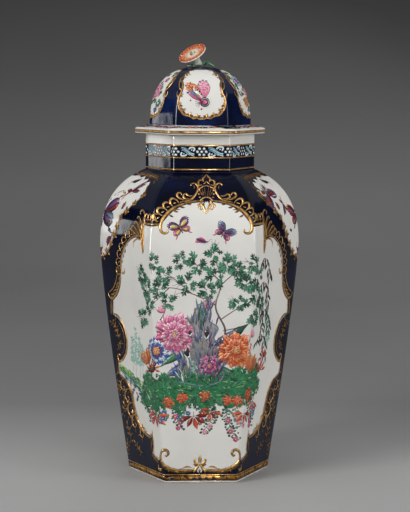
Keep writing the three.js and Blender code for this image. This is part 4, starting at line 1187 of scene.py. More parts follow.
def repeat_tree():
    """Puts a motif on every vertex, its Z along the vertex's outward direction and its X on its heading."""
    tree = bpy.data.node_groups.new("motif_on_spots", "GeometryNodeTree")
    for name, kind in GIVEN.items():
        tree.interface.new_socket(name, in_out="INPUT", socket_type="NodeSocket" + kind)
    tree.interface.new_socket("Pieces", in_out="OUTPUT", socket_type="NodeSocketGeometry")
    given = add(tree, "NodeGroupInput").outputs
    outward, heading = (
        add(tree, "GeometryNodeInputNamedAttribute", {"Name": name}, data_type="FLOAT_VECTOR").outputs[0]
        for name in ("outward", "heading"))
    up = add(tree, "FunctionNodeAlignRotationToVector", {"Vector": outward}, axis="Z")
    along = {"Rotation": up.outputs[0], "Vector": heading}
    along = add(tree, "FunctionNodeAlignRotationToVector", along, axis="X", pivot_axis="Z")
    back = add(tree, "ShaderNodeMath", {0: given["Sway"], 1: -1.0}, operation="MULTIPLY")
    sway = {2: back.outputs[0], 3: given["Sway"], "Seed": given["Seed"]}
    sway = add(tree, "FunctionNodeRandomValue", sway, data_type="FLOAT")
    spin = add(tree, "FunctionNodeAxisAngleToRotation", {"Axis": (0, 0, 1), "Angle": sway.outputs[1]})
    turned = {0: along.outputs[0], 1: spin.outputs[0]}
    turned = add(tree, "FunctionNodeRotateRotation", turned, rotation_space="LOCAL")
    size = {2: given["Least Size"], 3: given["Greatest Size"], "Seed": given["Seed"]}
    size = add(tree, "FunctionNodeRandomValue", size, data_type="FLOAT")
    info = add(tree, "GeometryNodeObjectInfo", {"Object": given["Motif"]}, transform_space="ORIGINAL")
    placed = {"Points": given["Spots"], "Instance": info.outputs["Geometry"], "Rotation": turned.outputs[0],
              "Scale": size.outputs[1]}
    placed = add(tree, "GeometryNodeInstanceOnPoints", placed)
    real = add(tree, "GeometryNodeRealizeInstances", {"Geometry": placed.outputs[0]})
    made = add(tree, "GeometryNodeSetMaterial", {"Geometry": real.outputs[0], "Material": given["Finish"]})
    add(tree, "NodeGroupOutput", {0: made.outputs[0]})
    return tree


REPEAT = repeat_tree()


def repeat(name, pattern, spots, finish, least, greatest, sway, seed):
    """Sets a motif on spots of (place, outward, heading) on the vase and makes the result one plain mesh."""
    places, *directions = zip(*spots)
    mesh = bpy.data.meshes.new(name + "_spots")
    mesh.from_pydata(places, [], [])
    for label, vectors in zip(("outward", "heading"), directions):
        layer = mesh.attributes.new(label, "FLOAT_VECTOR", "POINT")
        layer.data.foreach_set("vector", np.array(vectors, np.float32).ravel())
    holder = link(name + "_spots", mesh)
    modifier = holder.modifiers.new("motifs", "NODES")
    modifier.node_group = REPEAT
    values = {"Motif": pattern, "Finish": finish, "Least Size": least, "Greatest Size": greatest,
              "Sway": sway, "Seed": seed}
    for item in REPEAT.interface.items_tree:
        if item.in_out == "INPUT" and item.name in values:
            modifier[item.identifier] = values[item.name]
    graph = bpy.context.evaluated_depsgraph_get()
    real = bpy.data.meshes.new_from_object(holder.evaluated_get(graph))
    real.name = name
    bpy.data.objects.remove(holder)
    bpy.data.objects.remove(pattern)
    settle(name, real, "vase")


def spots_on(skin, place, points):
    """Spots for a repeat: (off, up, angle) on a skin, the angle being the motif's turn from level."""
    out = []
    for off, up, angle in points:
        probe = np.array([(off, up), ray(angle, 0.5, off, up)])
        ground = skin.lay(place, *probe.T, np.zeros(2))
        raised = skin.lay(place, *probe[:1].T, np.ones(1))
        out.append((tuple(ground[0] * MM), tuple(raised[0] - ground[0]), tuple(ground[1] - ground[0])))
    return out


BORDER_MIDDLE = 17.8            # height of the painted border's middle on the neck
DOTS_WIDE, DOTS_HIGH = 4.0, 3.2     # how far a dotted flower's six dots stand from its middle one


def neck_border():
    """The painted border round the neck: a dotted flower on every arris and facet middle, and a curling leaf
    between each two."""
    period = NECK_RADIUS / 2
    dots, leaves = [], []
    for i in range(2 * SIDES):
        dots.append((i * period, BORDER_MIDDLE, 0))
        for turn in range(0, 360, 60):
            x, y = ray(turn, 1)
            dots.append((i * period + DOTS_WIDE * x, BORDER_MIDDLE + DOTS_HIGH * y, turn))
        leaves.append(((i + 0.5) * period, BORDER_MIDDLE, 0))

    def dot(pen):
        pen.dot(0, 0, 1.36, MILK)

    def ribbons(pen):
        pen.stroke([(-6.5, 3.7), (-3.2, 3.3), (0, 1.2), (3.0, -1.4), (6.3, -2.3)],
                   [1.5, 1.9, 1.2, 1.7, 2.4], WASH)
        pen.stroke([(-6.1, 1.2), (-3.4, 1.0), (-0.4, -1.4), (2.4, -3.4)], [1.0, 1.3, 1.0, 0.9], WASH)

    def curls(pen):
        pen.stroke([(-5.6, 2.5), (-3.0, 2.1), (0, -0.1), (3.2, -2.9), (6.5, -4.1)],
                   [0.4, 0.6, 0.5, 0.7, 0.9], MILK)
        for flip in (1, -1):
            for path, widths in (([(0.6, 2.3), (2.2, 3.7), (4.4, 4.2), (6.3, 3.9)], [1.1, 2.0, 1.9, 1.5]),
                                 ([(6.2, 4.3), (6.4, 2.3), (5.3, 0.7)], [1.3, 1.9, 1.2]),
                                 ([(3.0, 1.5), (4.3, 2.3)], [0.8, 1.3])):
                pen.stroke([(flip * x, flip * y) for x, y in path], widths, MILK)

    for name, draw, spots, finish in (("dots", dot, dots, MILK), ("ribbons", ribbons, leaves, WASH),
                                      ("curls", curls, leaves, MILK)):
        repeat("neck_border_" + name, motif(name + "_motif", draw), spots_on(NECK, FRONT, spots), finish,
               least=0.93, greatest=1.05, sway=0.06, seed=3)


def neck_gilding():
    lines = Painting(NECK)
    for up, width in ((23.5, 1.5), (12.4, 1.4), (1.6, 1.5)):
        ring(lines, up, width, GOLD, rise=0.35)
    lines.build("neck_gilt_lines", "vase", "white_glaze")


def foot_band(gilding):
    """The gilt band round the foot, with black lobes at the middle of the front and back and dark ticks."""
    ring(gilding, 4.5, 5.4, GOLD_WORN, lift=0.08, rise=0.02)
    ring(gilding, 7.4, 1.0, GOLD, rise=0.25)
    ring(gilding, 1.7, 0.7, GOLD_DARK, rise=0.2)
    ring(gilding, 0.7, 1.1, WHITE, rise=0.04)
    dice = random.Random(5)
    for facet in range(SIDES):
        pen = Pen(gilding, facet)
        for x in (-29, -21, 22, 30):
            x += dice.uniform(-2, 2)
            pen.stroke([(x, 6.2), (x + 1.4, 4.4), (x + 1.2, 2.8)], [0.5, 1.3, 0.7], INK, 0.14, 0.02)
            pen.stroke([(x + 3, 4.0), (x + 6, 5.2), (x + 9, 4.2)], [0.4, 0.8, 0.4], GOLD_DARK, 0.14, 0.02)
        middle = ((-26, 6), (-6.4, 5.4), (-0.6, 6.2), (5.2, 4.8), (12, 5.2))
        for x, wide in middle if facet in (FRONT, BACK) else ((-10, 5), (8, 6)):
            for low, share in ((2.5, 1.0), (3.5, 0.7)):
                half = wide * share / 2
                arch = [(x - half, low), (x, low + 0.3), (x + half, low)]
                pen.stroke(arch, [1.0, 1.9, 1.0], INK, 0.16, 0.02)
            arch = [(-0.56, 3.0), (-0.3, 4.9), (0.1, 5.3), (0.5, 3.8)]
            arch = [(x + wide * share, up) for share, up in arch]
            pen.stroke(arch, [0.5, 1.0, 1.0, 0.6], GOLD, 0.2, 0.2)


def brim_decoration():
    """The gilt edge of the brim, and small flowers between blue fields on its slope."""
    edge = Painting(FLANGE_EDGE)
    ring(edge, 1.3, 2.7, GOLD, rise=0.1)
    edge.build("brim_gilt_edge", "cover", "white_glaze")
    dice = random.Random(12)
    slope = Painting(FLANGE_TOP)
    ring(slope, 10.6, 2.0, COBALT_COVER, rise=0.02)
    half_side = slope.skin.radius(4) / 2
    for facet in range(SIDES):
        pen = Pen(slope, facet)
        crossed = facet % 2 == 0    # a blue field crosses every second arris
        if crossed:
            field = Pen(slope, facet + 0.5)
            field.field([(-17, 9.6), (11, 9.6), (14, 1.2), (-8, 1.2)], COBALT_COVER, grid=2.5, smooth=False)
            field.stroke([(-17, 9.6), (-8, 1.2)], [1.1], GOLD)
            field.stroke([(11, 9.6), (14, 1.2)], [1.1], GOLD)
        for i in range(-4, 5):
            x = i * 5.9 + dice.uniform(-0.8, 0.8)
            if crossed and x > half_side - 16:
                continue
            y = 4.8 + dice.uniform(-1.4, 1.4)
            finish = dice.choice((RED, ROSE, RED_DARK, RED_DARK))
            for side, length in ((-1, 5.0), (1, 5.0), (-1, 3.6), (1, 3.6)):
                pen.petal(x, y, 90 + side * dice.uniform(60, 120), length, 2.2,
                          dice.choice((GREEN, GREEN_DARK, INK, INK)), blunt=0.7)
            floweret(pen.at(x, y, dice.uniform(0, 70)), finish, MILK, dice.uniform(0.8, 1.15))
    slope.build("brim_flowers", "cover", "white_glaze")


# ---- The picture in a main reserve: a garden of the builder's own design ----
def big_leaf(pen, length, width, finish, bend):
    """A long leaf with its midrib and side veins."""
    pen.petal(0, 0, 0, length, width, finish, bend, 0.08, 0.03, -0.1)
    path = [(length * t, bend * length * t * t) for t in (0.05, 0.35, 0.65, 0.92)]
    pen.stroke(path, [0.5, 0.4, 0.2], INK, 0.12, 0.02)
    for i in range(2, 9):
        x, y = length * i / 10, bend * length * (i / 10) ** 2
        reach = width * 0.42 * math.sin(math.pi * i / 10)
        for side in (-1, 1):
            side_vein = [(x, y), (x + reach * 0.8, y + side * reach)]
            pen.stroke(side_vein, [0.3, 0.15], INK, 0.12, 0.02, smooth=False)


ROCK = [(-15, -2), (-19, 8), (-14, 15), (-19, 24), (-13, 32), (-16, 42), (-10, 50), (-4, 45), (-3, 54),
        (3, 62), (10, 58), (9, 48), (16, 42), (13, 33), (20, 26), (16, 17), (21, 7), (17, -2), (6, -5),
        (-5, -4)]
ROCK_HOLES = ((-8, 22, 2.2, 4.0), (7, 37, 1.9, 3.6), (9, 15, 1.8, 2.8), (-6, 38, 1.3, 2.4))
ROCK_STROKES, HOLE_CORNERS = 210, 9


def rock(pen, dice):
    """A tall pierced garden rock, washed in grey and worked over in long wet strokes."""
    pen.field(ROCK, GREY, 0.06)
    outline = flow(ROCK + [ROCK[0]], 1.2)
    pen.stroke(outline, [0.9], SLATE, 0.1, 0.02, smooth=False)
    # Tones from the lit side to the shaded one, each up to so far across
    tones = ((-4, (MILK, GREY, GREY)), (7, (SLATE, SLATE, GREY)), (math.inf, (PURPLE, INK, SLATE)))
    done = 0
    while done < ROCK_STROKES:
        x, y = dice.uniform(-20, 21), dice.uniform(-4, 60)
        if not inside((x, y), outline):
            continue
        done += 1
        drift = x + dice.uniform(-3, 3)
        finish = BLUE if drift < -13 else dice.choice(next(tone for limit, tone in tones if drift < limit))
        pen.petal(x, y, 94 - 1.6 * x + dice.uniform(-12, 12), dice.uniform(5, 11), dice.uniform(0.7, 1.6),
                  finish, dice.uniform(-0.15, 0.15), 0.1 + 0.02 * (done % 4), 0.02, 0.2)
    for x, y, wide, tall in ROCK_HOLES:
        edge = []
        for i in range(HOLE_CORNERS):
            turn = 2 * math.pi * i / HOLE_CORNERS
            across = wide * (1 + 0.25 * math.sin(3 * turn + x))
            edge.append((x + across * math.cos(turn), y + tall * math.sin(turn)))
        pen.field(edge, INK, 0.2)
        pen.stroke(edge[5:] + edge[:1], [0.3, 1.0, 0.9, 0.3], MILK, 0.24, 0.02)


def hanging_branch(pen, dice, path):
    """A branch whose narrow leaves droop in pairs, as a willow carries them."""
    pen.stroke(path, [0.6, 0.5, 0.3], TWIG, rise=0.03)
    line = flow(path, 1.0)
    for x, y in line[3::5]:
        for side in (-1, 1):
            pen.petal(x + side * 0.5, y + dice.uniform(-1, 1), -90 + side * dice.uniform(26, 66),
                      dice.uniform(6.5, 9.5), 2.5, dice.choice((GREEN_DARK, INK, INK)), -side * 0.4, 0.1,
                      blunt=0.3)


def far_tree(pen, dice, height):
    """A slender tree far off, in one pale wash."""
    pen.stroke([(0, 0), (0.6, height * 0.5), (0, height)], [0.7, 0.5, 0.3], GREEN_PALE, 0.06, 0.01)
    for _ in range(int(height * 1.5)):
        share = dice.uniform(0.3, 1.0)
        reach = 4.4 * (1.15 - share) ** 0.6
        pen.petal(dice.uniform(-reach, reach) - 1.4, height * share, dice.uniform(-28, 28),
                  dice.uniform(2.2, 3.8), 1.4, GREEN_PALE, 0, 0.06, 0.01, 0.9)


def lawn_tufts(pen):
    for angle, length in ((90, 5.2), (70, 4.4), (112, 4.6), (50, 3.4), (132, 3.2)):
        pen.petal(0, 0, angle, length, 1.3, GREEN_LAWN, 0.2 if angle > 90 else -0.2, 0.1, 0.04, 0.1)


LAWN = [(-66, 80), (-61, 88), (-64, 95), (-56, 101), (-47, 97), (-38, 102), (-26, 98), (-14, 104), (0, 100),
        (14, 104), (24, 102), (33, 109), (44, 106), (55, 111), (64, 104), (60, 98), (67, 92), (62, 85),
        (54, 84), (48, 76), (38, 80), (27, 72), (14, 77), (4, 71), (-10, 77), (-20, 69), (-32, 74), (-44, 67),
        (-52, 73), (-60, 69), (-68, 73)]
TREE = ([(20, 104), (15, 124), (21, 146), (12, 168), (17, 192), (10, 214)], [(16, 156), (34, 168), (52, 176)],
        [(12, 170), (-8, 180), (-30, 186), (-52, 180)], [(16, 188), (30, 200), (46, 206)],
        [(14, 194), (-2, 206), (-24, 208)], [(-10, 181), (-28, 196), (-46, 206)],
        [(19, 146), (36, 150), (56, 160)], [(-30, 186), (-46, 170), (-62, 156)])
CLUSTERS = ((10, 217), (22, 207), (-4, 207), (-20, 211), (-44, 208), (-35, 198), (-54, 184), (-39, 186),
            (-14, 190), (4, 184), (12, 197), (31, 203), (47, 208), (40, 190), (55, 196), (33, 171), (52, 179),
            (-30, 173), (-50, 169), (-62, 156), (50, 157), (61, 170), (-62, 195))
FAR_TREES = ((-84, 100, 34), (-78, 94, 50), (-71, 96, 40), (-66, 101, 28), (76, 116, 44), (82, 122, 30),
             (-8, 104, 14))
BANK = [(-110, 104), (-100, 102.6), (-90, 98.6), (-78, 94), (-66, 90), (-57, 87), (-62, 83.6), (-76, 86),
        (-88, 91), (-98, 95), (-109, 97)]
BANK_LEAVES = ((-91, 89), (-85, 84), (-79, 77), (-74, 82), (-82, 90))
HANGING = ([(60, 206), (68, 211), (76, 203), (79, 192)], [(58, 184), (68, 189), (76, 179), (77, 166)],
           [(64, 160), (74, 162), (81, 150), (82, 138)], [(56, 132), (66, 139), (75, 130), (77, 116)],
           [(66, 172), (64, 164), (68, 150), (66, 142)])
BANK_STROKES, LAWN_BLADES, LAWN_TUFTS = 90, 190, 130    # the tufts are those within the lawn's edge
ARRIS_CLEARANCE = 3.5       # how far a tuft stays from an arris
BIG_LEAF_WIDTH = 8


def greenery(pen, dice):
    """The back of a garden scene: distant trees, a bank, a spreading tree, hanging branches and a lawn."""
    for x, y, height in FAR_TREES:
        far_tree(pen.at(x, y), dice, height)
    pen.field(BANK, GREEN_SPRING, 0.06, 4)
    high, low = (GREEN_SPRING, GREEN_SPRING, GREEN_LAWN), (GREEN_PALE, WASH, SLATE, GREEN_DARK)
    for i in range(BANK_STROKES):
        share = i / (BANK_STROKES - 1)
        depth = dice.uniform(0, 1)
        x, y = -108 + 50 * share + dice.uniform(-3, 3), 105 - 16 * share - 11 * depth
        finish = dice.choice(high if depth < 0.5 else low)
        pen.petal(x, y, dice.uniform(-44, -12), dice.uniform(5, 10), dice.uniform(1.4, 3.0), finish,
                  0, 0.07, 0.01, 0.2)
    for x, y in BANK_LEAVES:
        bunch = pen.at(x, y, dice.uniform(240, 300))
        leaf_cluster(bunch, dice, (SLATE, GREEN_DARK), dice.uniform(0.4, 0.6), 7, 200)
    # The tree stands behind the rock and spreads to both sides
    trunk, *boughs = TREE
    pen.stroke(trunk, [2.4, 2.0, 1.6, 1.2, 0.6], TWIG, 0.07)
    for path in boughs:
        pen.stroke(path, [1.0, 0.8, 0.5], TWIG, 0.07)
    for x, y in CLUSTERS:
        bare_twig(pen, dice, x, y, dice.uniform(0, 360), dice.uniform(9, 14))
        bunch = pen.at(x, y, dice.uniform(0, 360))
        leaf_cluster(bunch, dice, (GREEN, GREEN_DARK), dice.uniform(0.9, 1.35), dice.choice((8, 10, 12)))
    for path in HANGING:
        hanging_branch(pen, dice, path)
    pen.field(LAWN, GREEN_LAWN, 0.07, 4)
    for x, y in flow(LAWN + [LAWN[0]], 6.5):
        bunch = pen.at(x, y, dice.uniform(0, 360))
        leaf_cluster(bunch, dice, (GREEN_LAWN, GREEN_DARK), dice.uniform(0.5, 0.72), 5, 300)
    blades = (GREEN, GREEN_DARK, GREEN_DARK, GREEN_LAWN, GREEN_SPRING)
    for _ in range(LAWN_BLADES):
        x, y = dice.uniform(-56, 58), dice.uniform(77, 101)
        pen.petal(x, y, dice.uniform(-30, 30), dice.uniform(2.4, 6), dice.uniform(0.8, 1.8),
                  dice.choice(blades), 0.1, 0.12, 0.02, 0.6)


# Off, up, heading and length of the large leaves
BIG_LEAVES = ((-12, 132, 150, 30), (-10, 128, 196, 32), (8, 132, 20, 30), (8, 122, -16, 34),
              (-2, 146, 74, 28), (-14, 116, 226, 24), (12, 114, -42, 22), (22, 134, 56, 26),
              (-28, 134, 126, 24), (-40, 112, 190, 18))
# Off, up, turn and size of the red sprays
SPRAYS = ((-43, 66, 180, 1.6), (-7, 65, 190, 1.6), (9, 70, 160, 1.1), (40, 67, 170, 1.4), (57, 76, 140, 1.2),
          (-52, 106, 10, 0.9), (-45, 110, -30, 0.8), (62, 106, -20, 0.9), (70, 104, 0, 1.1),
          (73, 116, 10, 1.1), (18, 112, 30, 0.7))
# Off, length, leaves and flowers of the drooping twigs
DROOPING = ((-54, 16, GREEN_DARK, ROSE), (-34, 13, GREEN, BLUE), (-24, 20, GREEN_DARK, ROSE),
            (-14, 12, GREEN, BLUE), (2, 15, GREEN_DARK, ROSE), (13, 24, GREEN_DARK, PINK),
            (22, 31, GREEN_DARK, ROSE), (31, 18, GREEN, PINK), (50, 20, GREEN_DARK, ROSE),
            (58, 14, GREEN, BLUE))


def garden_flowers(pen, dice):
    """The front of a garden scene: a rock, peonies, tulips, an aster, red sprays, twigs and butterflies."""
    rock(pen.at(-4, 100, 0, 1.16), dice)
    # Flowers and their leaves
    for x, y, angle, length in BIG_LEAVES:
        finish = dice.choice((GREEN, SLATE, GREEN_DARK))
        big_leaf(pen.at(x, y, angle), length, BIG_LEAF_WIDTH, finish, dice.choice((-0.25, 0.25)))
    for x, y in ((46, 106), (52, 108), (-50, 116)):
        pen.stroke([(x, y - 12), (x + 1, y)], [0.8, 0.7], GREEN_DARK, rise=0.03)
    tulip(pen.at(45, 107, -20), 1.05)
    tulip(pen.at(-56, 112, 24), 0.9)
    aster(pen.at(-42, 127), 1.0)
    for x, y, pale, rich, size in ((-25, 143, PINK, ROSE, 0.98), (31, 128, ORANGE, RED, 0.84),
                                   (7, 113, ROSE, PURPLE, 0.5)):
        peony(pen.at(x, y, dice.uniform(0, 40)), pale, rich, size)
    for x, y, angle in ((-34, 163, 130), (4, 168, 80), (45, 140, 40)):
        pen.stroke([(x - 4, y - 7), (x, y)], [0.8, 0.6], GREEN_DARK, rise=0.03)
        bud = pen.at(x, y, angle)
        for aside in (-24, 24, 0):
            bud.petal(0, 0, aside, 8, 4.4, PINK, 0, 0.1, 0.03, 0.7)
    # Low flowers on the bank and red sprays and twigs under it
    rings = ((7, 6.6, 6.0, RED), (6, 4.4, 4.4, RED))
    for x, y in ((-30, 78), (-17, 82), (3, 84), (24, 80), (33, 79), (46, 84)):
        flower = pen.at(x, y, dice.uniform(0, 60))
        bloom_of(flower, rings, dice.uniform(0.75, 1.0), ORANGE, RED_DARK, veins=1)
    for x, y, turn, size in SPRAYS:
        pen.stroke([(x, y + 4), (x, y)], [0.5, 0.4], RED_DARK, smooth=False)
        for heading in (-84, -42, 0, 42, 84):
            angle = 90 + turn + heading
            pen.petal(*ray(angle, 1.8, x, y), angle, dice.uniform(6.4, 8.6) * size, 2.7 * size,
                      dice.choice((RED, RED, RED_DARK)), 0.1, 0.12, blunt=0.0)
            pen.stroke([(x, y), ray(angle, 5.4 * size, x, y)], [0.4, 0.2], RED_DARK, 0.16, 0.01, smooth=False)
    for x, length, leaf, petals in DROOPING:
        flower_twig(pen.at(x, 73), dice, length, leaf, petals)
    butterfly(pen.at(-20, 240, 24, 0.95), PURPLE, ROSE, YELLOW)
    butterfly(pen.at(19, 236, -34, 0.88), SLATE, ROSE, PURPLE)
    moth(pen.at(3, 228, 10, 0.8), ROSE, PURPLE)


def picture_spots(dice):
    """Where the lawn's tufts grow: along its edge and over its face, but not on an arris."""
    edge = flow(LAWN + [LAWN[0]], 3.0)
    spots = [(x, y, dice.uniform(-14, 14)) for x, y in edge]
    while len(spots) < len(edge) + LAWN_TUFTS:
        spot = (dice.uniform(-60, 62), dice.uniform(74, 106))
        if inside(spot, edge):
            spots.append((*spot, dice.uniform(-16, 16)))
    return [s for s in spots if abs(abs(s[0]) - WALL.radius(s[1]) / 2) > ARRIS_CLEARANCE]


# ---- The modelled flower on the cover ----
FINIAL_SHIFT = -2.6     # where the stalk stands, off the axis along X
PAD_RADIUS = 6.4
BLOOM_RADIUS, BLOOM_DISH, BLOOM_HEART = 13.8, 1.6, 1.8      # its reach, its hollow, its heart's thickness
LEAN, HEADING = math.radians(38.7), math.radians(223.3)     # how far the bloom leans, and which way
FACING = Vector((math.sin(LEAN) * math.cos(HEADING), math.sin(LEAN) * math.sin(HEADING), math.cos(LEAN)))
BLOOM_CENTRE = Vector((FINIAL_SHIFT + 6.8 * math.cos(HEADING), 6.8 * math.sin(HEADING), DOME_TOP + 11.6))
PETALS, PETAL_STEPS = 24, 4
STALK_STEPS, STALK_AROUND = 16, 24
LEAF_STEPS, LEAF_HALF_STEPS = 32, 6
# Distance from the heart and height of the bloom's rows, from its back over its edge to its heart
BLOOM_ROWS = ((0.05, -BLOOM_HEART), (3, -BLOOM_HEART), (6.8, -BLOOM_HEART), (10, -1.3), (12.8, -0.35),
              (13.45, -0.05), (13.75, 0.5), (13.8, 1.0), (13.7, 1.4), (13.4, 1.6), (12.6, 1.42), (11, 1.1),
              (9, 0.8), (7, 0.5), (5, 0.3), (3, 0.14), (1, 0.03), (0.05, 0))
# Strokes along each petal: distances from the heart, widths, enamel, lift, rise
BRUSHWORK = (((13.55, 12, 9, 6), [3.1, 3.3, 2.3, 0.3], BLOOM_ORANGE, 0.06, 0.05),
             ((9.4, 5.2), [1.3, 0.9, 0.3], BLOOM_PALE, 0.06, 0.04),
             ((12.6, 10.9), [0.5, 0.7, 0.3], RED_DARK, 0.16, 0.04))


class Dish:
    """The face of the bloom; off and up are plain distances from its heart."""
    axes = np.array(FACING.to_track_quat("Z", "Y").to_matrix()).T

    def lay(self, _, off, up, lift):
        reach = np.minimum(np.hypot(off, up), BLOOM_RADIUS)
        height = BLOOM_DISH * (reach / BLOOM_RADIUS) ** 1.6 + lift
        return np.stack([off, up, height], 1) @ self.axes + np.array(BLOOM_CENTRE)


def loft(name, rings, finish, replaced, marks=None):
    """Joins rings of points into one closed solid on the cover."""
    count = len(rings[0])
    faces = [tuple(range(count)), tuple(range((len(rings) - 1) * count, len(rings) * count))]
    for i in range(len(rings) - 1):
        for j in range(count):
            k = (j + 1) % count
            faces.append((i * count + j, i * count + k, (i + 1) * count + k, (i + 1) * count + j))
    mesh = mesh_of(name, [spot for line in rings for spot in line], faces, [True] * len(faces), marks)
    mesh.materials.append(finish)
    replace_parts(settle(name, mesh, "cover"), *replaced)


def bloom():
    """A shallow round bloom pressed from clay, its petals marked by grooves and by orange brush strokes."""
    dish = Dish()
    rings = []
    for reach, height in BLOOM_ROWS:
        line = []
        for i in range(PETAL_STEPS * PETALS):
            turn = 2 * math.pi * i / (PETAL_STEPS * PETALS)
            ridge = abs(math.sin(turn * PETALS / 2))
            notched = reach * (1 - 0.02 * (1 - ridge) * (reach > 12))
            groove = 0.16 * ridge * min(1, reach / 9) - 0.16 if height > 0.2 else 0
            local = np.array([notched * math.cos(turn), notched * math.sin(turn), height + groove])
            line.append(local @ dish.axes + np.array(BLOOM_CENTRE))
        rings.append(line)
    loft("modelled_bloom", rings, CREAM, ["flower_bloom"])
    paint = Painting(dish)
    pen = Pen(paint)
    for angle in range(0, 360, 360 // PETALS):
        for reaches, widths, finish, lift, rise in BRUSHWORK:
            path = [ray(angle, reach) for reach in reaches]
            pen.stroke(path, widths, finish, lift, rise, smooth=len(path) > 2)
    # A dark red line round the bloom's edge: partly a painted line, partly painted shade where the rim turns
    # under
    pen.stroke([ray(6 * i, 13.45) for i in range(61)], [0.5], RED_DARK, 0.02, 0.05, smooth=False)
    paint.build("bloom_brushwork", "cover", "orange_enamel")


def stalk():
    """A bent, faintly ribbed stalk, wider at its foot and under the bloom."""
    foot = Vector((FINIAL_SHIFT, 0, DOME_TOP + 1.8))
    end = BLOOM_CENTRE - FACING * (BLOOM_HEART + 0.3)
    rings, marks = [], []
    a, b = foot + Vector((0, 0, 3)), end - FACING * 3.4
    for i in range(STALK_STEPS + 1):
        t = i / STALK_STEPS
        k = cubic(t)
        centre = foot * k[0] + a * k[1] + b * k[2] + end * k[3]
        ahead = (a - foot) * (1 - t) + (end - b) * t
        side = ahead.cross(Vector((0, 1, 0))).normalized()
        front = side.cross(ahead).normalized()
        radius = 3.1 + 1.5 * (1 - t) ** 3 + 3.0 * t ** 4
        line = []
        for j in range(STALK_AROUND):
            turn = 2 * math.pi * j / STALK_AROUND
            reach = radius * (1 + 0.035 * math.cos(turn * 6))
            line.append(centre + side * reach * math.cos(turn) + front * reach * math.sin(turn))
            marks.append((t, 0.5 + 0.5 * math.cos(turn)))
        rings.append(line)
    loft("modelled_stalk", rings, STALK, ["finial_stalk", "flower_calyx"], marks)


def dome_height(x, y):
    """Height of the cover under a spot."""
    reach = max(x * math.sin(math.pi / 3 * i) + y * math.cos(math.pi / 3 * i) for i in range(SIDES)) / FACET
    return float(np.interp(-reach, -DOME.radii, DOME.heights))


# Heading, length, width, rise at the tip, fold along the rib, arch and finish of each leaf
LEAVES = ((346, 9.1, 8.4, 0.6, 0.9, 2.0, LEAF_GREEN), (30, 9.4, 6.6, 0.8, 0.9, 3.4, LEAF_GREEN),
          (84, 8.6, 6.6, 0.9, 0.8, 1.6, GREEN), (140, 7.4, 6.2, 0.7, 0.8, 1.2, GREEN),
          (190, 3.8, 4.2, 0.6, 0.5, 0.4, STALK))


def leaves():
    """Serrated clay leaves round the stalk, folded along their ribs and arched over the dome."""
    for number, (heading, length, width, rise, fold, arch, finish) in enumerate(LEAVES, 1):
        c, s = ray(heading, 1)
        rings, marks = [], []
        for i in range(LEAF_STEPS + 1):
            share = i / LEAF_STEPS
            swell = math.sin(math.pi * (0.06 + share ** 0.8 * 0.88))
            tooth = 0.75 * (1 - (share * 6) % 1)
            half = max(width / 2 - tooth, 0.4) * swell
            upper, lower = [], []
            for j in range(-LEAF_HALF_STEPS, LEAF_HALF_STEPS + 1):
                across = j / LEAF_HALF_STEPS
                reach = PAD_RADIUS + 0.3 + length * share - abs(across) * 0.9 * swell
                x = FINIAL_SHIFT + c * reach - s * half * across
                y = s * reach + c * half * across
                vein = 0.22 * math.cos(across * math.pi * 0.5) ** 6
                vein += 0.1 * math.sin(share * 44 - abs(across) * 9)
                z = dome_height(x, y) + 0.5 + rise * share ** 2 + fold * across ** 2 * swell
                z += arch * math.sin(math.pi * share ** 0.6)
                upper.append((x, y, z + 0.75 + vein))
                lower.append((x, y, z))
                marks.append((share, abs(across)))
            marks.extend(marks[-len(upper):][::-1])
            rings.append(upper + lower[::-1])
        loft("modelled_leaf_" + str(number), rings, finish, ["leaf_" + str(number)], marks)


def cad_finishes():
    """Finishes for the solids of the frame that stay as they are."""
    for node, finish in (("vase_floor", WHITE), ("locating_lip", WHITE), ("finial_pad", PAD),
                         ("stamen_1", STAMEN_GREEN), ("stamen_2", STAMEN_GREEN), ("stamen_3", STAMEN_RED)):
        for slot in bpy.data.objects[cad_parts[node].name].material_slots:
            slot.material = finish


# ---- Camera, light and floor ----
PHOTO_HEIGHT, FOCAL_LENGTH = 512, 1569.0    # in pixels
SENSOR_WIDTH = 36


def camera():
    """The photograph's view: a long lens, slightly above the shoulder, tilted down a little."""
    distance, height = 1479.0, 374.0
    azimuth, pitch, yaw, roll = (math.radians(v) for v in (-2.02, 6.51, -0.20, 0.33))
    eye = Vector((distance * math.sin(azimuth), -distance * math.cos(azimuth), height))
    ahead = Vector((-math.sin(azimuth + yaw) * math.cos(pitch), math.cos(azimuth + yaw) * math.cos(pitch),
                    -math.sin(pitch)))
    across = ahead.cross(Vector((0, 0, 1))).normalized()
    upward = across.cross(ahead)
    right = across * math.cos(roll) + upward * math.sin(roll)
    above = upward * math.cos(roll) - across * math.sin(roll)
    data = bpy.data.cameras.new("camera")
    data.sensor_fit = "AUTO"
    data.sensor_width = SENSOR_WIDTH
    data.lens = FOCAL_LENGTH / PHOTO_HEIGHT * SENSOR_WIDTH
    data.clip_start = 0.05
    made = link("camera", data)
    made.matrix_world = Matrix.Translation(eye * MM) @ Matrix((right, above, -ahead)).transposed().to_4x4()
    bpy.context.scene.camera = made


def softbox(name, place, aim, width, height, power, mirrored=True, lights=True):
    """A flagged studio lamp. It shows as a reflection in the glaze, lights matt surfaces, or does both."""
    data = bpy.data.lights.new(name, "AREA")
    data.shape = "RECTANGLE"
    data.size = width
    data.size_y = height
    data.energy = power
    made = link(name, data)
    made.location = place
    made.rotation_euler = (Vector(aim) - Vector(place)).to_track_quat("-Z", "Y").to_euler()
    made.visible_glossy = mirrored
    made.visible_diffuse = lights


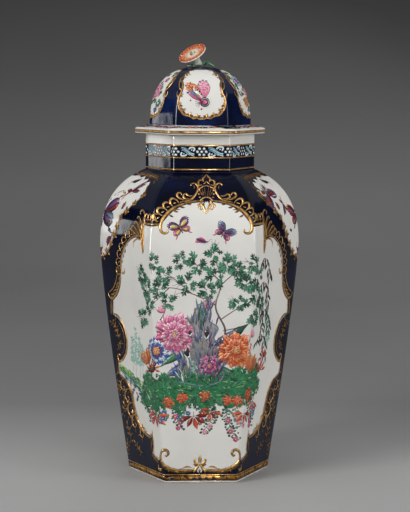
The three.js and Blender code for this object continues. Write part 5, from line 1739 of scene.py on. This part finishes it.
# Lamps in metres and watts: place, what it is aimed at, width, height, power
LIGHTS = (
    ("key_window", (-1.35, -1.1, 1.0), (0, 0, 0.25), 0.7, 1.1, 20),
    ("fill_front", (0.6, -1.8, 1.1), (0, 0, 0.3), 1.4, 1.0, 9.5, False),
    ("fill_right", (1.7, -0.8, 0.5), (0, 0, 0.3), 0.8, 1.0, 14, False),
    ("fill_behind", (0.6, 1.7, 1.3), (0, 0, 0.3), 1.2, 1.0, 9, False),
    ("top_soft", (-0.1, -0.2, 1.5), (0, 0, 0.3), 1.2, 1.0, 5, False),
    ("glint_left", (-1.5, -0.85, 0.75), (0, 0, 0.75), 0.5, 1.4, 60, True, False),
    ("glint_right", (1.5, -0.9, 0.7), (0, 0, 0.7), 0.3, 1.2, 16, True, False),
    ("window_behind", (-1.554, 0.85, 0.315), (0, 0, 0.315), 0.045, 0.27, 0.24, True, False))
# The sweep's grey at so many metres back and up from the object: painted shade, darker where the light falls
# off
SWEEP_PAINTED_SHADE = ((0.0, "#999998"), (0.06, "#959594"), (0.3, "#737372"), (1.9, "#6e6e6d"), (2.8, "#464645"))
# The sweep's front edge, half its width, where its bend starts, the bend's radius and its top
SWEEP_FRONT, SWEEP_HALF, BEND_START, BEND_RADIUS, SWEEP_TOP = -4000, 5000, 1200, 1200, 1500
BEND_STEPS = 12


def studio():
    bpy.context.scene.view_settings.view_transform = "Standard"
    for lamp in LIGHTS:
        softbox(*lamp)
    world = bpy.data.worlds.new("studio")
    world.use_nodes = True
    world.node_tree.nodes.clear()
    sky = add(world.node_tree, "ShaderNodeBackground", {"Color": linear("#7c7c7e"), "Strength": 1.0})
    add(world.node_tree, "ShaderNodeOutputWorld", {"Surface": sky.outputs["Background"]})
    bpy.context.scene.world = world
    # Floor and backdrop are one seamless sheet of matt pale grey paper, bent up behind the object
    material, tree = new_material("seamless_paper_sweep")
    mottle = patchy(tree, 300, (0.97, 0.97, 0.97, 1), (1.03, 1.03, 1.03, 1))
    # Painted shade: the paper's grey darkens further back and up, standing in for the light falling off
    place = add(tree, "ShaderNodeSeparateXYZ", {0: add(tree, "ShaderNodeTexCoord").outputs["Object"]})
    back = add(tree, "ShaderNodeMath", {0: place.outputs["Y"], 1: place.outputs["Z"]}, operation="ADD")
    furthest = SWEEP_PAINTED_SHADE[-1][0]
    share = add(tree, "ShaderNodeMapRange", {"Value": back.outputs[0], 2: furthest})
    painted_falloff = add(tree, "ShaderNodeValToRGB", {"Fac": share.outputs[0]})
    stops = painted_falloff.color_ramp.elements
    while len(stops) < len(SWEEP_PAINTED_SHADE):
        stops.new(0.5)
    for stop, (reach, colour) in zip(stops, SWEEP_PAINTED_SHADE):
        stop.position = reach / furthest
        stop.color = linear(colour)
    painted_falloff = {"Factor": 1.0, 6: painted_falloff.outputs["Color"], 7: mottle}
    painted_falloff = add(tree, "ShaderNodeMix", painted_falloff, data_type="RGBA", blend_type="MULTIPLY")
    shade(tree, {"Base Color": painted_falloff.outputs[2], "Roughness": 0.95})
    profile = [(SWEEP_FRONT, 0), (BEND_START, 0)]
    for i in range(1, BEND_STEPS + 1):
        turn = math.pi / 2 * i / BEND_STEPS
        along, up = BEND_RADIUS * math.sin(turn), BEND_RADIUS - BEND_RADIUS * math.cos(turn)
        profile.append((BEND_START + along, up))
    profile.append((BEND_START + BEND_RADIUS, SWEEP_TOP))
    places = [(x, y, z) for y, z in profile for x in (-SWEEP_HALF, SWEEP_HALF)]
    faces = [(2 * i, 2 * i + 1, 2 * i + 3, 2 * i + 2) for i in range(len(profile) - 1)]
    mesh = mesh_of("studio_sweep", places, faces, [True] * len(faces))
    mesh.materials.append(material)
    link("studio_sweep", mesh)


camera()
studio()
vase_body()
neck_body()
cover_body()

fields, gilding, enamels = Painting(WALL), Painting(WALL), Painting(WALL)
for place in (FRONT, BACK):
    main_panel(fields, gilding, place)
for place in (RIGHT, LEFT):
    shoulder_reserve(fields, gilding, place)
foot_band(gilding)
for place, lower, height, size in ((RIGHT, RED_DARK, 245, 1.35), (LEFT, SLATE, 247, 2.4)):
    butterfly(Pen(enamels, place, 0, height, 6, size), RED_DARK, lower, PURPLE, YELLOW)
    for mirror in (False, True):
        reserve_insects(Pen(enamels, place, mirror=mirror), mirror)
fields.build("vase_white_reserves", "vase", "white_glaze")
gilding.build("vase_gilding", "vase", "white_glaze")
enamels.build("vase_enamels", "vase", "white_glaze")
for place, side, seed in ((FRONT, "front", 7), (BACK, "back", 21)):
    dice = random.Random(seed)
    for draw, part in ((greenery, "_greenery"), (garden_flowers, "_garden_flowers")):
        paint = Painting(WALL)
        draw(Pen(paint, place, mirror=side == "back"), dice)
        paint.build(side + part, "vase", "white_glaze")
    spots = spots_on(WALL, place, picture_spots(random.Random(seed)))
    repeat(side + "_lawn_tufts", motif("tuft_motif", lawn_tufts), spots, GREEN_LAWN,
           least=0.7, greatest=1.25, sway=0.3, seed=seed)

fields, gilding, enamels = Painting(DOME), Painting(DOME), Painting(DOME)
for place in (FRONT, RIGHT, BACK, LEFT):
    cover_reserve(fields, gilding, place)
for place in (FRONT, BACK):
    folded_butterfly(Pen(enamels, place, 0, 23, scale=0.98), ORANGE, PINK, SLATE)
    beetle(Pen(enamels, place, -13, 30, 20, 0.5), BLUE)
for place, seed in ((RIGHT, 4), (LEFT, 9)):
    cover_posy(Pen(enamels, place), random.Random(seed))
fields.build("cover_white_reserves", "cover", "white_glaze")
gilding.build("cover_gilding", "cover", "white_glaze")
enamels.build("cover_enamels", "cover", "white_glaze")
neck_gilding()
neck_border()
bloom()
stalk()
leaves()
cad_finishes()
brim_decoration()
